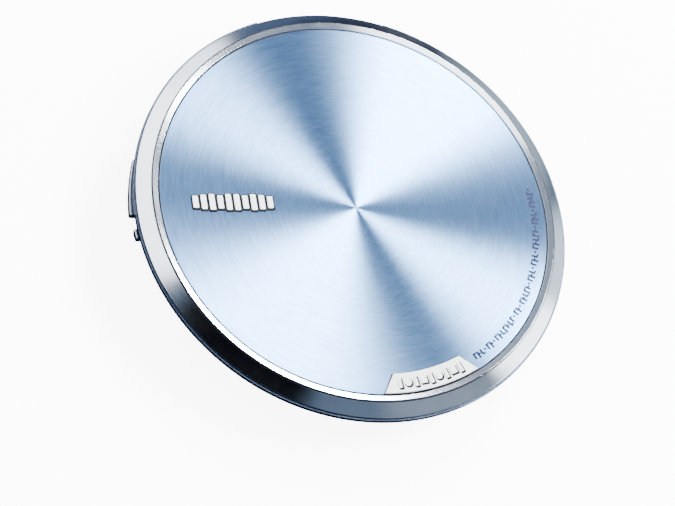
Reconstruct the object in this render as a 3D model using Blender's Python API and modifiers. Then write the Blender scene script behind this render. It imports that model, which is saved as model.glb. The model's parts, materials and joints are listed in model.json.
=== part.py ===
"""Portable disc player: a round lid on a tapered case, with its keys, drive, pickup, board and cells.

The player lies flat: +Z is up, +Y points to the hinge and -Y to the front. The origin is on the disc's
axis, level with the underside of the feet. Sizes are in millimetres and become metres in the helpers.
"""

import math

import bmesh
import bpy
from mathutils import Matrix, Vector

MM = 0.001

# Round outer shape, as radii and heights
DISC_R = 62.0
DISC_TOP = 17.5
DISC_THICK = 0.8
CREST_R = 64.15
CREST_TOP = 18.0
FACET_TOP = (64.7, 17.9)
FACET_FOOT = (68.35, 15.2)
RIM_R = 68.6
RIM_BOTTOM = 14.75
BADGE_OUTER = (61.9, -91.2, -60.8)
BADGE_INNER = (55.5, -63.7, -87.5)
BADGE_TOP = 18.3
LEDGE_R = 60.9
LEDGE_TOP = 16.4
LEDGE_BOTTOM = 15.7
LINER_R = 60.5
LINER_BOTTOM = 15.8
BAND_R = 69.2
BAND_THICK = 1.4
BAND_BOTTOM = 12.8
BAND_TOP = 14.4
SHELL_TOP_R = 68.9
SHELL_STEP = 12.5
SHELL_LIP_R = 67.5
SHELL_LIP_TOP = 14.0
SHELL_BASE_R = 60.0
SHELL_BASE = 1.1
SHELL_FLOOR = 2.4
SHELL_WALL = 1.7
GAP = 0.35

# Disc tray
WELL_R = 61.0
WELL_WALL = 0.8
TRAY_FLOOR = 11.5
TRAY_THICK = 1.0
TRAY_RIM_R = 66.5
TRAY_RIM_TOP = 14.0
TURNTABLE_HOLE_R = 15.3
WINDOW_HALF = 9.0
WINDOW_END = 61.6

# Lid switch and latch, as angles about the disc's axis
SWITCH_PLACE = (63.4, -40.0)
LATCH_ANGLES = (169.0, 174.0)
LATCH_SLOT_ANGLES = (167.8, 175.2)

# Hinge at the rear
HINGE_Y = 65.8
HINGE_Z = 12.2
KNUCKLE_R = 2.1
PIN_R = 0.7
PIN_HALF = 17.5
PIN_BORE_R = 1.05
ARM_INNER = 5.0
ARM_OUTER = 12.0
NOTCH_HALF = 21.0
NOTCH_Y = 62.2
NOTCH_FLOOR = 8.6

# Keys, as angles about the disc's axis, and how high and how far out they stand
KEY_BOTTOM = 9.6
KEY_TOP = 11.9
KEY_INNER_R = 63.2
SLIDER_ANGLES = (164.0, 180.0)
SLIDER_TRAVEL = 2.0
SLIDER_R = 69.3
SLIDER_PROUD = 0.9
PLAY_ANGLES = (183.6, 186.6)
STOP_ANGLES = (-27.5, -24.5)
VOLUME_ANGLES = (-18.0, -6.0)
HOLD_ANGLES = (1.0, 6.0)
HOLD_TRAVEL = 2.0
BUTTON_R = 69.8

# Sockets: angle, height, bore and nose radii, body length, width and height
PHONE_ANGLE = 17.0
PHONE_Z = 7.2
POWER_ANGLE = 28.5
POWER_Z = 7.0
SOCKET_FACE_R = 65.0
SOCKET_BODY_R = 60.8
POWER_PIN = (52.0, 64.2)

# Drive
SPINDLE_MOTOR_R = 11.5
PLATTER_R = 14.0
HUB_R = 7.3
CHASSIS_BOTTOM = 9.1
CHASSIS_TOP = 9.8
ROD_X = 14.0
ROD_Z = 6.4
ROD_R = 1.0
ROD_INNER = 9.5
ROD_OUTER = 59.3
LENS_Y = -24.0
GEAR_MODULE = 0.5
GEAR_TEETH = 24
PINION_TEETH = 12
RACK_TEETH = 24
RACK_LINE_X = 17.9
GEAR_Y = -22.5
GEAR_BOTTOM = 7.3
GEAR_TOP = 8.5
PINION_DIRECTION = -37.5
CHASSIS_OUTLINE = (
    (-22.0, 12.5),
    (-22.0, -52.0),
    (-18.5, -59.0),
    (-8.6, -59.0),
    (-8.6, -14.0),
    (8.6, -14.0),
    (8.6, -59.0),
    (18.5, -59.0),
    (22.0, -52.0),
    (22.0, -36.5),
    (37.5, -36.5),
    (37.5, -15.5),
    (26.0, -7.0),
    (26.0, 12.5),
)
DAMPERS = ((-18.5, 8.5), (22.5, 8.5), (33.8, -18.6))
ADDENDUM = 0.84
DEDENDUM = 1.3
BACKLASH = 0.14
PRESSURE_ANGLE = 20.0

# Cells and board
CELL = (67.0, 17.0, 6.0)
CELL_FRONT_Y = 14.4
CELL_BOTTOM = 2.75
BAY_HALF = 38.8
BAY_FRONT = 13.0
BAY_REAR = 45.5
BAY_TOP = 10.0
DOOR_HALF = 36.0
DOOR_FRONT = 13.5
DOOR_TOP = 6.0
BOARD_R = 53.5
BOARD_BOTTOM = 2.75
BOARD_THICK = 0.8
# Chips as X and Y spans and height, and where the capacitor stands
CHIPS = {
    "decoder_chip": ((-44.0, -32.0), (-14.0, -2.0), 1.4),
    "memory_chip": ((-42.0, -26.0), (-32.0, -24.0), 1.1),
}
CAPACITOR_PLACE = (44.0, 4.0)
SCREW_RING_R = 56.4
SCREW_ANGLES = (-35.0, -145.0, 8.0, 172.0)
FEET = ((44.0, 27.0), (-44.0, 27.0), (34.0, -38.0), (-34.0, -38.0))

OUTER_STEPS = 72
INNER_STEPS = 32
SMALL_STEPS = 16

COLOURS = {
    "ring_metal": ((0.70, 0.72, 0.76), 0.32, 1.0),
    "disc_metal": ((0.52, 0.64, 0.80), 0.28, 1.0),
    "badge_metal": ((0.86, 0.87, 0.89), 0.30, 1.0),
    "band_metal": ((0.42, 0.48, 0.56), 0.34, 1.0),
    "key_metal": ((0.60, 0.64, 0.70), 0.30, 1.0),
    "steel": ((0.56, 0.57, 0.58), 0.28, 1.0),
    "brass": ((0.80, 0.62, 0.30), 0.30, 1.0),
    "shell_plastic": ((0.03, 0.04, 0.07), 0.45, 0.0),
    "tray_plastic": ((0.07, 0.08, 0.10), 0.50, 0.0),
    "black_plastic": ((0.03, 0.03, 0.035), 0.42, 0.0),
    "white_plastic": ((0.82, 0.81, 0.76), 0.40, 0.0),
    "rubber": ((0.05, 0.05, 0.05), 0.80, 0.0),
    "board": ((0.04, 0.22, 0.10), 0.45, 0.0),
    "cell_wrap": ((0.10, 0.24, 0.42), 0.35, 0.0),
    "lens_glass": ((0.35, 0.45, 0.80), 0.05, 0.0),
}


# ---------------------------------------------------------------- helpers


def clear_scene():
    for obj in list(bpy.data.objects):
        bpy.data.objects.remove(obj, do_unlink=True)


def new_collection(name):
    collection = bpy.data.collections.new(name)
    bpy.context.scene.collection.children.link(collection)
    return collection


def make_materials():
    made = {}
    for name, (colour, roughness, metallic) in COLOURS.items():
        material = bpy.data.materials.new(name)
        material.use_nodes = True
        shader = material.node_tree.nodes["Principled BSDF"]
        shader.inputs["Base Color"].default_value = (*colour, 1.0)
        shader.inputs["Roughness"].default_value = roughness
        shader.inputs["Metallic"].default_value = metallic
        made[name] = material
    return made


clear_scene()
PARTS = new_collection("portable_disc_player")
CUTTERS = new_collection("cutters")
MATERIALS = make_materials()


def add_object(name, mesh, material):
    """Links a mesh as a visible part, or as a cutter when it has no material."""
    obj = bpy.data.objects.new(name, mesh)
    if material is None:
        CUTTERS.objects.link(obj)
        obj.hide_render = True
        obj.display_type = "WIRE"
    else:
        PARTS.objects.link(obj)
        mesh.materials.append(MATERIALS[material])
    return obj


def mesh_from(name, bm):
    bmesh.ops.recalc_face_normals(bm, faces=bm.faces)
    mesh = bpy.data.meshes.new(name)
    bm.to_mesh(mesh)
    bm.free()
    mesh.shade_smooth()
    mesh.set_sharp_from_angle(angle=math.radians(30.0))
    return mesh


def turned(name, material, profile, steps=OUTER_STEPS, centre=(0.0, 0.0)):
    """A turned solid. A profile of radius and height runs down its outer side; one off the axis is a loop."""
    mesh = bpy.data.meshes.new(name)
    points = [(r * MM, 0.0, z * MM) for r, z in profile]
    edges = [(i, i + 1) for i in range(len(points) - 1)]
    if profile[0][0] > 0.0:
        edges.append((len(points) - 1, 0))
    mesh.from_pydata(points, edges, [])
    obj = add_object(name, mesh, material)
    obj.location = (centre[0] * MM, centre[1] * MM, 0.0)
    screw = obj.modifiers.new("turn", "SCREW")
    screw.steps = steps
    screw.render_steps = steps
    screw.use_merge_vertices = True
    screw.merge_threshold = 0.00001
    screw.use_smooth_shade = False
    return obj


def box(name, material, low, high, bevel=0.0):
    """A box between two corners, with rounded edges if a bevel is given."""
    bm = bmesh.new()
    size = [(b - a) * MM for a, b in zip(low, high)]
    centre = [(a + b) / 2.0 * MM for a, b in zip(low, high)]
    bmesh.ops.create_cube(bm, size=1.0, matrix=Matrix.Diagonal((*size, 1.0)))
    obj = add_object(name, mesh_from(name, bm), material)
    obj.location = centre
    if bevel > 0.0:
        rounding = obj.modifiers.new("rounding", "BEVEL")
        rounding.width = bevel * MM
        rounding.segments = 2
        rounding.limit_method = "ANGLE"
    return obj


def rod(name, material, radius, start, end, steps=SMALL_STEPS):
    """A solid cylinder between two points."""
    a = Vector(start) * MM
    b = Vector(end) * MM
    bm = bmesh.new()
    turn = (b - a).to_track_quat("Z", "Y").to_matrix().to_4x4()
    bmesh.ops.create_cone(
        bm,
        cap_ends=True,
        segments=steps,
        radius1=radius * MM,
        radius2=radius * MM,
        depth=(b - a).length,
        matrix=turn,
    )
    obj = add_object(name, mesh_from(name, bm), material)
    obj.location = (a + b) / 2.0
    return obj


def arc_block(name, material, radii, heights, angles, steps=None, swell=0.0):
    """A block bent round the disc's axis. Its outer side swells further towards the last angle."""
    r_in, r_out = radii
    z_low, z_high = heights
    start, end = (math.radians(a) for a in angles)
    if steps is None:
        steps = max(2, round(abs(end - start) / math.radians(360.0 / OUTER_STEPS)))
    bm = bmesh.new()
    corners = ((r_in, z_low), (r_out, z_low), (r_out, z_high), (r_in, z_high))
    ring = [bm.verts.new((r * MM, 0.0, z * MM)) for r, z in corners]
    face = bm.faces.new(ring)
    bmesh.ops.rotate(bm, verts=bm.verts, cent=(0, 0, 0), matrix=Matrix.Rotation(start, 3, "Z"))
    bmesh.ops.spin(
        bm,
        geom=list(bm.verts) + list(bm.edges) + [face],
        cent=(0, 0, 0),
        axis=(0, 0, 1),
        dvec=(0, 0, 0),
        angle=end - start,
        steps=steps,
        use_duplicate=False,
    )
    middle = (r_in + r_out) / 2.0 * MM
    for vert in bm.verts:
        radius = vert.co.xy.length
        if swell and radius > middle:
            share = (math.atan2(vert.co.y, vert.co.x) % (2.0 * math.pi) - start) / (end - start)
            vert.co.xy *= 1.0 + swell * MM * share / radius
    return add_object(name, mesh_from(name, bm), material)


def plate(name, material, outlines, heights):
    """A flat plate from closed outlines in X and Y. Outlines inside the first are holes."""
    curve = bpy.data.curves.new(name, "CURVE")
    curve.dimensions = "2D"
    curve.fill_mode = "BOTH"
    curve.extrude = (heights[1] - heights[0]) / 2.0 * MM
    for outline in outlines:
        spline = curve.splines.new("POLY")
        spline.points.add(len(outline) - 1)
        for point, (x, y) in zip(spline.points, outline):
            point.co = (x * MM, y * MM, 0.0, 1.0)
        spline.use_cyclic_u = True
    guide = bpy.data.objects.new(name + "_outline", curve)
    CUTTERS.objects.link(guide)
    depsgraph = bpy.context.evaluated_depsgraph_get()
    mesh = bpy.data.meshes.new_from_object(guide.evaluated_get(depsgraph))
    bpy.data.objects.remove(guide, do_unlink=True)
    bm = bmesh.new()
    bm.from_mesh(mesh)
    bmesh.ops.remove_doubles(bm, verts=bm.verts, dist=0.000001)
    obj = add_object(name, mesh_from(name, bm), material)
    obj.location.z = (heights[0] + heights[1]) / 2.0 * MM
    return obj


def combine(obj, other, operation):
    modifier = obj.modifiers.new(other.name, "BOOLEAN")
    modifier.operation = operation
    modifier.object = other
    modifier.solver = "EXACT"


def cut(obj, *cutters):
    for cutter in cutters:
        combine(obj, cutter, "DIFFERENCE")


def join(obj, *additions):
    for addition in additions:
        combine(obj, addition, "UNION")


def on_axis(name, position, *pieces):
    """Parents the pieces of one moving body to an empty on its joint's axis."""
    empty = bpy.data.objects.new(name, None)
    PARTS.objects.link(empty)
    place = Matrix.Translation(Vector(position) * MM)
    empty.matrix_world = place
    for piece in pieces:
        piece.parent = empty
        piece.matrix_parent_inverse = place.inverted()


def polar(radius, degrees):
    angle = math.radians(degrees)
    return radius * math.cos(angle), radius * math.sin(angle)


def arc_points(radius, start, end, count, centre=(0.0, 0.0)):
    """Points along an arc, in degrees, both ends included."""
    found = []
    for i in range(count + 1):
        x, y = polar(radius, start + (end - start) * i / count)
        found.append((x + centre[0], y + centre[1]))
    return found


def shell_radius(height):
    """The lower case's outer radius on its taper."""
    share = (height - SHELL_BASE) / (SHELL_STEP - SHELL_BASE)
    return SHELL_BASE_R + 1.6 + (SHELL_TOP_R - SHELL_BASE_R - 1.6) * share


# ---------------------------------------------------------------- lid


def lid_ring():
    profile = (
        (CREST_R, CREST_TOP),
        FACET_TOP,
        FACET_FOOT,
        (RIM_R, RIM_BOTTOM + 0.2),
        (RIM_R - 0.2, RIM_BOTTOM),
        (RIM_R - 1.3, RIM_BOTTOM),
        (RIM_R - 2.3, LEDGE_BOTTOM),
        (LEDGE_R, LEDGE_BOTTOM),
        (LEDGE_R, LEDGE_TOP),
        (DISC_R + 0.3, LEDGE_TOP),
        (DISC_R + 0.3, DISC_TOP - 0.1),
    )
    ring = turned("lid_ring", "ring_metal", profile)
    relief = arc_block("ring_hinge_relief", None, (60.0, 67.0), (13.0, 15.75), (78.5, 101.5))
    cut(ring, relief)
    return ring


def lid_disc():
    low = DISC_TOP - DISC_THICK
    profile = (
        (0.0, DISC_TOP),
        (DISC_R - 0.15, DISC_TOP),
        (DISC_R, DISC_TOP - 0.15),
        (DISC_R, low),
        (0.0, low),
    )
    return turned("lid_disc", "disc_metal", profile)


def lid_badge():
    outer = arc_points(*BADGE_OUTER, 12)
    inner = arc_points(*BADGE_INNER, 10)
    return plate("lid_badge", "badge_metal", (outer + inner,), (DISC_TOP + 0.1, BADGE_TOP))


def lid_liner():
    profile = (
        (0.0, LEDGE_TOP),
        (LINER_R, LEDGE_TOP),
        (LINER_R, LINER_BOTTOM),
        (0.0, LINER_BOTTOM),
    )
    return turned("lid_liner", "tray_plastic", profile, 72)


def lid_hinge_arm(name, side):
    inner, outer = sorted((side * ARM_INNER, side * ARM_OUTER))
    arm = box(name, "black_plastic", (inner, 61.0, 14.35), (outer, 65.6, 15.35))
    web = box(name + "_web", None, (inner, 64.0, HINGE_Z), (outer, 65.6, 15.0))
    knuckle = rod(name + "_knuckle", None, KNUCKLE_R, (inner, HINGE_Y, HINGE_Z), (outer, HINGE_Y, HINGE_Z))
    bore = rod(
        name + "_bore",
        None,
        PIN_BORE_R,
        (inner - 1.0, HINGE_Y, HINGE_Z),
        (outer + 1.0, HINGE_Y, HINGE_Z),
    )
    join(arm, web, knuckle)
    cut(arm, bore)
    return arm


def lid_latch_hook():
    hook = arc_block("lid_latch_hook", "black_plastic", (62.7, 64.0), (12.3, 15.35), LATCH_ANGLES, 3)
    toe = arc_block("latch_toe", None, (63.3, 65.0), (12.3, 12.75), LATCH_ANGLES, 3)
    join(hook, toe)
    return hook


def lid_switch_pin():
    x, y = polar(*SWITCH_PLACE)
    return rod("lid_switch_pin", "black_plastic", 0.8, (x, y, 11.9), (x, y, 15.35), 12)


def make_lid():
    pieces = (
        lid_ring(),
        lid_disc(),
        lid_badge(),
        lid_liner(),
        lid_hinge_arm("lid_hinge_arm_left", -1.0),
        lid_hinge_arm("lid_hinge_arm_right", 1.0),
        lid_latch_hook(),
        lid_switch_pin(),
    )
    on_axis("lid_hinge", (0.0, HINGE_Y, HINGE_Z), *pieces)


# ---------------------------------------------------------------- case


def shell_solid(name, material):
    inner = [(r - SHELL_WALL, z) for r, z in ((shell_radius(11.6), 11.6), (shell_radius(3.4), 3.4))]
    profile = [
        (SHELL_LIP_R, SHELL_LIP_TOP),
        (SHELL_LIP_R, SHELL_STEP),
        (SHELL_TOP_R, SHELL_STEP),
        (shell_radius(2.2), 2.2),
        (61.5, 1.45),
        (SHELL_BASE_R, SHELL_BASE),
        (0.0, SHELL_BASE),
        (0.0, SHELL_FLOOR),
        (SHELL_BASE_R - 0.6, SHELL_FLOOR),
        inner[1],
        inner[0],
        (SHELL_LIP_R - 0.7, SHELL_STEP),
        (SHELL_LIP_R - 0.7, SHELL_LIP_TOP),
    ]
    # The loop is cut open at the axis: it starts at the floor's middle, inside, and ends under it.
    start = profile.index((0.0, SHELL_FLOOR))
    return turned(name, material, profile[start:] + profile[:start])


def key_window(name, angles, travel=0.0):
    return arc_block(
        name,
        None,
        (60.0, 72.0),
        (KEY_BOTTOM - GAP, KEY_TOP + 0.3),
        (angles[0] - GAP, angles[1] + GAP + travel),
    )


def notch(name):
    low = (-NOTCH_HALF, NOTCH_Y, NOTCH_FLOOR)
    return box(name, None, low, (NOTCH_HALF, 75.0, 16.0))


def lower_shell():
    shell = shell_solid("lower_shell", "shell_plastic")
    low = (-DOOR_HALF - GAP, DOOR_FRONT - GAP, 0.0)
    door_cut = box("door_cut", None, low, (DOOR_HALF + GAP, 80.0, DOOR_TOP + GAP))
    cut(shell, door_cut, notch("shell_notch"))
    cut(
        shell,
        key_window("slider_window", SLIDER_ANGLES, travel=SLIDER_TRAVEL),
        key_window("play_window", PLAY_ANGLES),
        key_window("stop_window", STOP_ANGLES),
        key_window("volume_window", VOLUME_ANGLES),
        key_window("hold_window", HOLD_ANGLES, travel=HOLD_TRAVEL),
    )
    for name, angle, height, radius in (
        ("phone_hole", PHONE_ANGLE, PHONE_Z, 3.0),
        ("power_hole", POWER_ANGLE, POWER_Z, 3.2),
    ):
        inner = polar(58.0, angle)
        outer = polar(72.0, angle)
        cut(shell, rod(name, None, radius, (*inner, height), (*outer, height)))
    for i, angle in enumerate(SCREW_ANGLES):
        x, y = polar(SCREW_RING_R, angle)
        cut(shell, rod(f"screw_hole_{i + 1}", None, 2.3, (x, y, 0.0), (x, y, 3.0), 16))
    return shell


def battery_door():
    door = shell_solid("battery_door", "shell_plastic")
    low = (-DOOR_HALF, DOOR_FRONT, 0.0)
    combine(door, box("door_prism", None, low, (DOOR_HALF, 80.0, DOOR_TOP)), "INTERSECT")
    on_axis("door_slide", (0.0, DOOR_FRONT, SHELL_BASE), door)


def side_band():
    inner = BAND_R - BAND_THICK
    profile = (
        (BAND_R - 0.2, BAND_TOP),
        (BAND_R, BAND_TOP - 0.2),
        (BAND_R, BAND_BOTTOM + 0.2),
        (BAND_R - 0.2, BAND_BOTTOM),
        (inner, BAND_BOTTOM),
        (inner, BAND_TOP),
    )
    band = turned("side_band", "band_metal", profile)
    cut(band, notch("band_notch"))


def disc_tray():
    low = TRAY_FLOOR - TRAY_THICK
    outer = WELL_R + WELL_WALL
    profile = (
        (TRAY_RIM_R, TRAY_RIM_TOP),
        (TRAY_RIM_R, TRAY_RIM_TOP - 1.0),
        (outer, TRAY_RIM_TOP - 1.0),
        (outer, low),
        (TURNTABLE_HOLE_R, low),
        (TURNTABLE_HOLE_R, TRAY_FLOOR),
        (WELL_R, TRAY_FLOOR),
        (WELL_R, TRAY_RIM_TOP - 0.3),
        (WELL_R + 0.3, TRAY_RIM_TOP),
    )
    tray = turned("disc_tray", "tray_plastic", profile)
    window = box("pickup_window", None, (-WINDOW_HALF, -WINDOW_END, 5.0), (WINDOW_HALF, 0.0, 13.2))
    x, y = polar(*SWITCH_PLACE)
    pin_hole = rod("switch_hole", None, 1.3, (x, y, 12.0), (x, y, 16.0))
    slot = arc_block("latch_slot", None, (62.2, 65.5), (12.0, 15.0), LATCH_SLOT_ANGLES, 4)
    cut(tray, window, notch("tray_notch"), pin_hole, slot)


def hinge_bracket():
    bracket = box("hinge_bracket", "black_plastic", (-20.4, 62.5, 9.0), (20.4, 63.2, 13.7))
    web = box("bracket_web", None, (-4.5, 62.8, 9.8), (4.5, 65.8, 12.2))
    knuckle = rod("bracket_knuckle", None, KNUCKLE_R, (-4.5, HINGE_Y, HINGE_Z), (4.5, HINGE_Y, HINGE_Z))
    bore = rod("bracket_bore", None, PIN_BORE_R, (-6.0, HINGE_Y, HINGE_Z), (6.0, HINGE_Y, HINGE_Z))
    join(bracket, web, knuckle)
    cut(bracket, bore)


def hinge_pin():
    rod("hinge_pin", "steel", PIN_R, (-PIN_HALF, HINGE_Y, HINGE_Z), (PIN_HALF, HINGE_Y, HINGE_Z), 16)


def coil(name, material, wire, radii, span, turns, place, turn_points=10):
    """A coil spring along X from place, whose radius goes from the first to the second value."""
    curve = bpy.data.curves.new(name, "CURVE")
    curve.dimensions = "3D"
    curve.bevel_depth = wire * MM
    curve.bevel_resolution = 1
    curve.use_fill_caps = True
    spline = curve.splines.new("POLY")
    count = turns * turn_points
    spline.points.add(count)
    for i, point in enumerate(spline.points):
        share = i / count
        radius = radii[0] + (radii[1] - radii[0]) * share
        angle = 2.0 * math.pi * turns * share
        x = place[0] + span * share
        y = place[1] + radius * math.cos(angle)
        z = place[2] + radius * math.sin(angle)
        point.co = (x * MM, y * MM, z * MM, 1.0)
    obj = bpy.data.objects.new(name, curve)
    PARTS.objects.link(obj)
    curve.materials.append(MATERIALS[material])
    return obj


def feet():
    for i, centre in enumerate(FEET):
        profile = ((0.0, 0.8), (3.6, 0.8), (3.6, 0.25), (3.3, 0.0), (0.0, 0.0))
        turned(f"foot_{i + 1}", "rubber", profile, SMALL_STEPS, centre)


def case_screws():
    profile = ((0.0, 9.0), (0.9, 9.0), (0.9, 2.3), (1.95, 2.3), (1.95, 1.3), (0.0, 1.3))
    for i, angle in enumerate(SCREW_ANGLES):
        turned(f"case_screw_{i + 1}", "steel", profile, 12, polar(SCREW_RING_R, angle))


def make_case():
    lower_shell()
    battery_door()
    side_band()
    disc_tray()
    hinge_bracket()
    hinge_pin()
    coil("hinge_spring", "steel", 0.25, (1.5, 1.5), 4.2, 5, (12.6, HINGE_Y, HINGE_Z))
    feet()
    case_screws()


# ---------------------------------------------------------------- keys and sockets


def key_joint(name, angles, *pieces):
    x, y = polar(BUTTON_R, sum(angles) / 2.0)
    on_axis(name, (x, y, (KEY_BOTTOM + KEY_TOP) / 2.0), *pieces)


def make_keys():
    slider = arc_block(
        "open_slider",
        "key_metal",
        (KEY_INNER_R, SLIDER_R),
        (KEY_BOTTOM, KEY_TOP),
        SLIDER_ANGLES,
        swell=SLIDER_PROUD,
    )
    on_axis("slider_turn", (0.0, 0.0, KEY_BOTTOM), slider)
    for name, angles, steps in (
        ("play_button", PLAY_ANGLES, 3),
        ("stop_button", STOP_ANGLES, 3),
        ("volume_rocker", VOLUME_ANGLES, 5),
    ):
        heights = (KEY_BOTTOM, KEY_TOP)
        key = arc_block(name, "key_metal", (KEY_INNER_R, BUTTON_R), heights, angles, steps)
        key_joint(name + "_joint", angles, key)
    heights = (KEY_BOTTOM, KEY_TOP)
    hold = arc_block("hold_switch", "black_plastic", (KEY_INNER_R, 69.4), heights, HOLD_ANGLES, 3)
    on_axis("hold_turn", (0.0, 0.0, KEY_BOTTOM), hold)


def socket(name, angle, height, bore_r, nose_r, body):
    """A socket on its own radial line: a moulded body, a round nose in the case wall and a blind bore."""
    length, width, tall = body
    low = (SOCKET_BODY_R - length, -width / 2.0, height - tall / 2.0)
    obj = box(name, "black_plastic", low, (SOCKET_BODY_R, width / 2.0, height + tall / 2.0))
    nose = rod(name + "_nose", None, nose_r, (SOCKET_BODY_R - 1.0, 0.0, height), (SOCKET_FACE_R, 0.0, height))
    hole = rod(name + "_hole", None, bore_r, (SOCKET_BODY_R - length + 1.5, 0.0, height), (70.0, 0.0, height))
    turn = Matrix.Rotation(math.radians(angle), 4, "Z")
    for piece in (obj, nose, hole):
        piece.matrix_world = turn @ Matrix.Translation(piece.location)
    join(obj, nose)
    cut(obj, hole)
    return obj


# ---------------------------------------------------------------- drive


def spindle_motor():
    profile = (
        (2.2, 9.0),
        (2.2, 8.7),
        (10.9, 8.7),
        (SPINDLE_MOTOR_R, 8.2),
        (SPINDLE_MOTOR_R, 3.3),
        (0.0, 3.3),
        (0.0, 4.6),
        (1.1, 4.6),
        (1.1, 9.0),
    )
    start = profile.index((0.0, 4.6))
    turned("spindle_motor", "steel", profile[start:] + profile[:start], INNER_STEPS)


def turntable():
    plate_top = 12.3
    profile = (
        (HUB_R - 1.2, 15.2),
        (HUB_R - 0.3, 14.9),
        (HUB_R, 14.4),
        (HUB_R, plate_top),
        (PLATTER_R, plate_top),
        (PLATTER_R, 11.6),
        (3.0, 11.6),
        (3.0, 10.4),
        (1.1, 10.4),
        (1.1, 15.2),
    )
    platter = turned("turntable", "tray_plastic", profile, INNER_STEPS)
    pad_profile = ((13.7, 13.2), (13.7, 12.6), (9.6, 12.6), (9.6, 13.2))
    pad = turned("turntable_pad", "rubber", pad_profile, INNER_STEPS)
    shaft_profile = ((0.0, 15.0), (0.75, 15.0), (0.75, 5.0), (0.0, 5.0))
    shaft = turned("spindle_shaft", "steel", shaft_profile, 16)
    on_axis("disc_spin", (0.0, 0.0, 0.0), platter, pad, shaft)


def mech_chassis():
    holes = [arc_points(2.7, 0.0, -340.0, 17)]
    for x, y in DAMPERS:
        holes.append(arc_points(1.9, 0.0, -337.5, 15, (x, y)))
    chassis = plate("mech_chassis", "steel", (CHASSIS_OUTLINE, *holes), (CHASSIS_BOTTOM, CHASSIS_TOP))
    for side in (-1.0, 1.0):
        for y_low, y_high in ((-12.9, -10.4), (-58.9, -56.6)):
            name = f"rod_lug_{'left' if side < 0 else 'right'}_{'outer' if y_low < -50 else 'inner'}"
            x_low, x_high = sorted((side * 12.2, side * 15.8))
            lug = box(name, None, (x_low, y_low, 4.9), (x_high, y_high, CHASSIS_BOTTOM + 0.3))
            join(chassis, lug)
        bore = rod(
            f"rod_bore_{'left' if side < 0 else 'right'}",
            None,
            ROD_R + 0.3,
            (side * ROD_X, -5.0, ROD_Z),
            (side * ROD_X, -65.0, ROD_Z),
            16,
        )
        cut(chassis, bore)


def dampers():
    profile = (
        (3.0, 10.3),
        (3.0, 10.1),
        (1.6, 10.1),
        (1.6, 8.7),
        (3.0, 8.7),
        (3.0, 8.0),
        (0.7, 8.0),
        (0.7, 10.3),
    )
    for i, centre in enumerate(DAMPERS):
        turned(f"damper_{i + 1}", "rubber", profile, 16, centre)


def guide_rods():
    for name, x in (("guide_rod_left", -ROD_X), ("guide_rod_right", ROD_X)):
        rod(name, "steel", ROD_R, (x, -ROD_INNER, ROD_Z), (x, -ROD_OUTER, ROD_Z), 16)


def involute(angle):
    return math.tan(angle) - angle


def gear_outline(teeth, phase):
    """A spur gear's outline, with a tooth centred on the phase angle, in degrees."""
    pitch_r = GEAR_MODULE * teeth / 2.0
    base_r = pitch_r * math.cos(math.radians(PRESSURE_ANGLE))
    tip_r = pitch_r + ADDENDUM * GEAR_MODULE
    root_r = pitch_r - DEDENDUM * GEAR_MODULE
    half = math.pi / (2.0 * teeth) - BACKLASH / (4.0 * pitch_r)
    at_pitch = involute(math.radians(PRESSURE_ANGLE))
    flank_start = max(base_r, root_r)
    flank = []
    for i in range(3):
        radius = flank_start + (tip_r - flank_start) * i / 2.0
        turn = involute(math.acos(min(1.0, base_r / radius)))
        flank.append((radius, half + at_pitch - turn))
    flank.insert(0, (root_r, flank[0][1] + 0.02))
    points = []
    for tooth in range(teeth):
        centre = math.radians(phase) + 2.0 * math.pi * tooth / teeth
        for radius, offset in flank:
            points.append((radius * math.cos(centre - offset), radius * math.sin(centre - offset)))
        for radius, offset in reversed(flank):
            points.append((radius * math.cos(centre + offset), radius * math.sin(centre + offset)))
    return points


def gear(name, teeth, phase, centre, bore_r):
    outline = [(x + centre[0], y + centre[1]) for x, y in gear_outline(teeth, phase)]
    bore = arc_points(bore_r, 0.0, -330.0, 11, centre)
    return plate(name, "white_plastic", (outline, bore), (GEAR_BOTTOM, GEAR_TOP))


def rack_outline():
    pitch = math.pi * GEAR_MODULE
    slope = math.tan(math.radians(PRESSURE_ANGLE))
    tip = ADDENDUM * GEAR_MODULE
    root = -DEDENDUM * GEAR_MODULE
    half = pitch / 4.0 - BACKLASH / 4.0
    points = []
    for tooth in range(-1, RACK_TEETH - 1):
        centre = GEAR_Y + tooth * pitch
        for depth, side in ((root, -1.0), (tip, -1.0), (tip, 1.0), (root, 1.0)):
            points.append((RACK_LINE_X + depth, centre + side * (half - depth * slope)))
    low = points[0][1]
    high = points[-1][1]
    points.append((RACK_LINE_X + root - 0.55, high))
    points.append((RACK_LINE_X + root - 0.55, low))
    return points


def gear_centres():
    gear_r = GEAR_MODULE * GEAR_TEETH / 2.0
    pinion_r = GEAR_MODULE * PINION_TEETH / 2.0
    first = (RACK_LINE_X + gear_r, GEAR_Y)
    step = polar(gear_r + pinion_r, PINION_DIRECTION)
    return first, (first[0] + step[0], first[1] + step[1])


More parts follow.
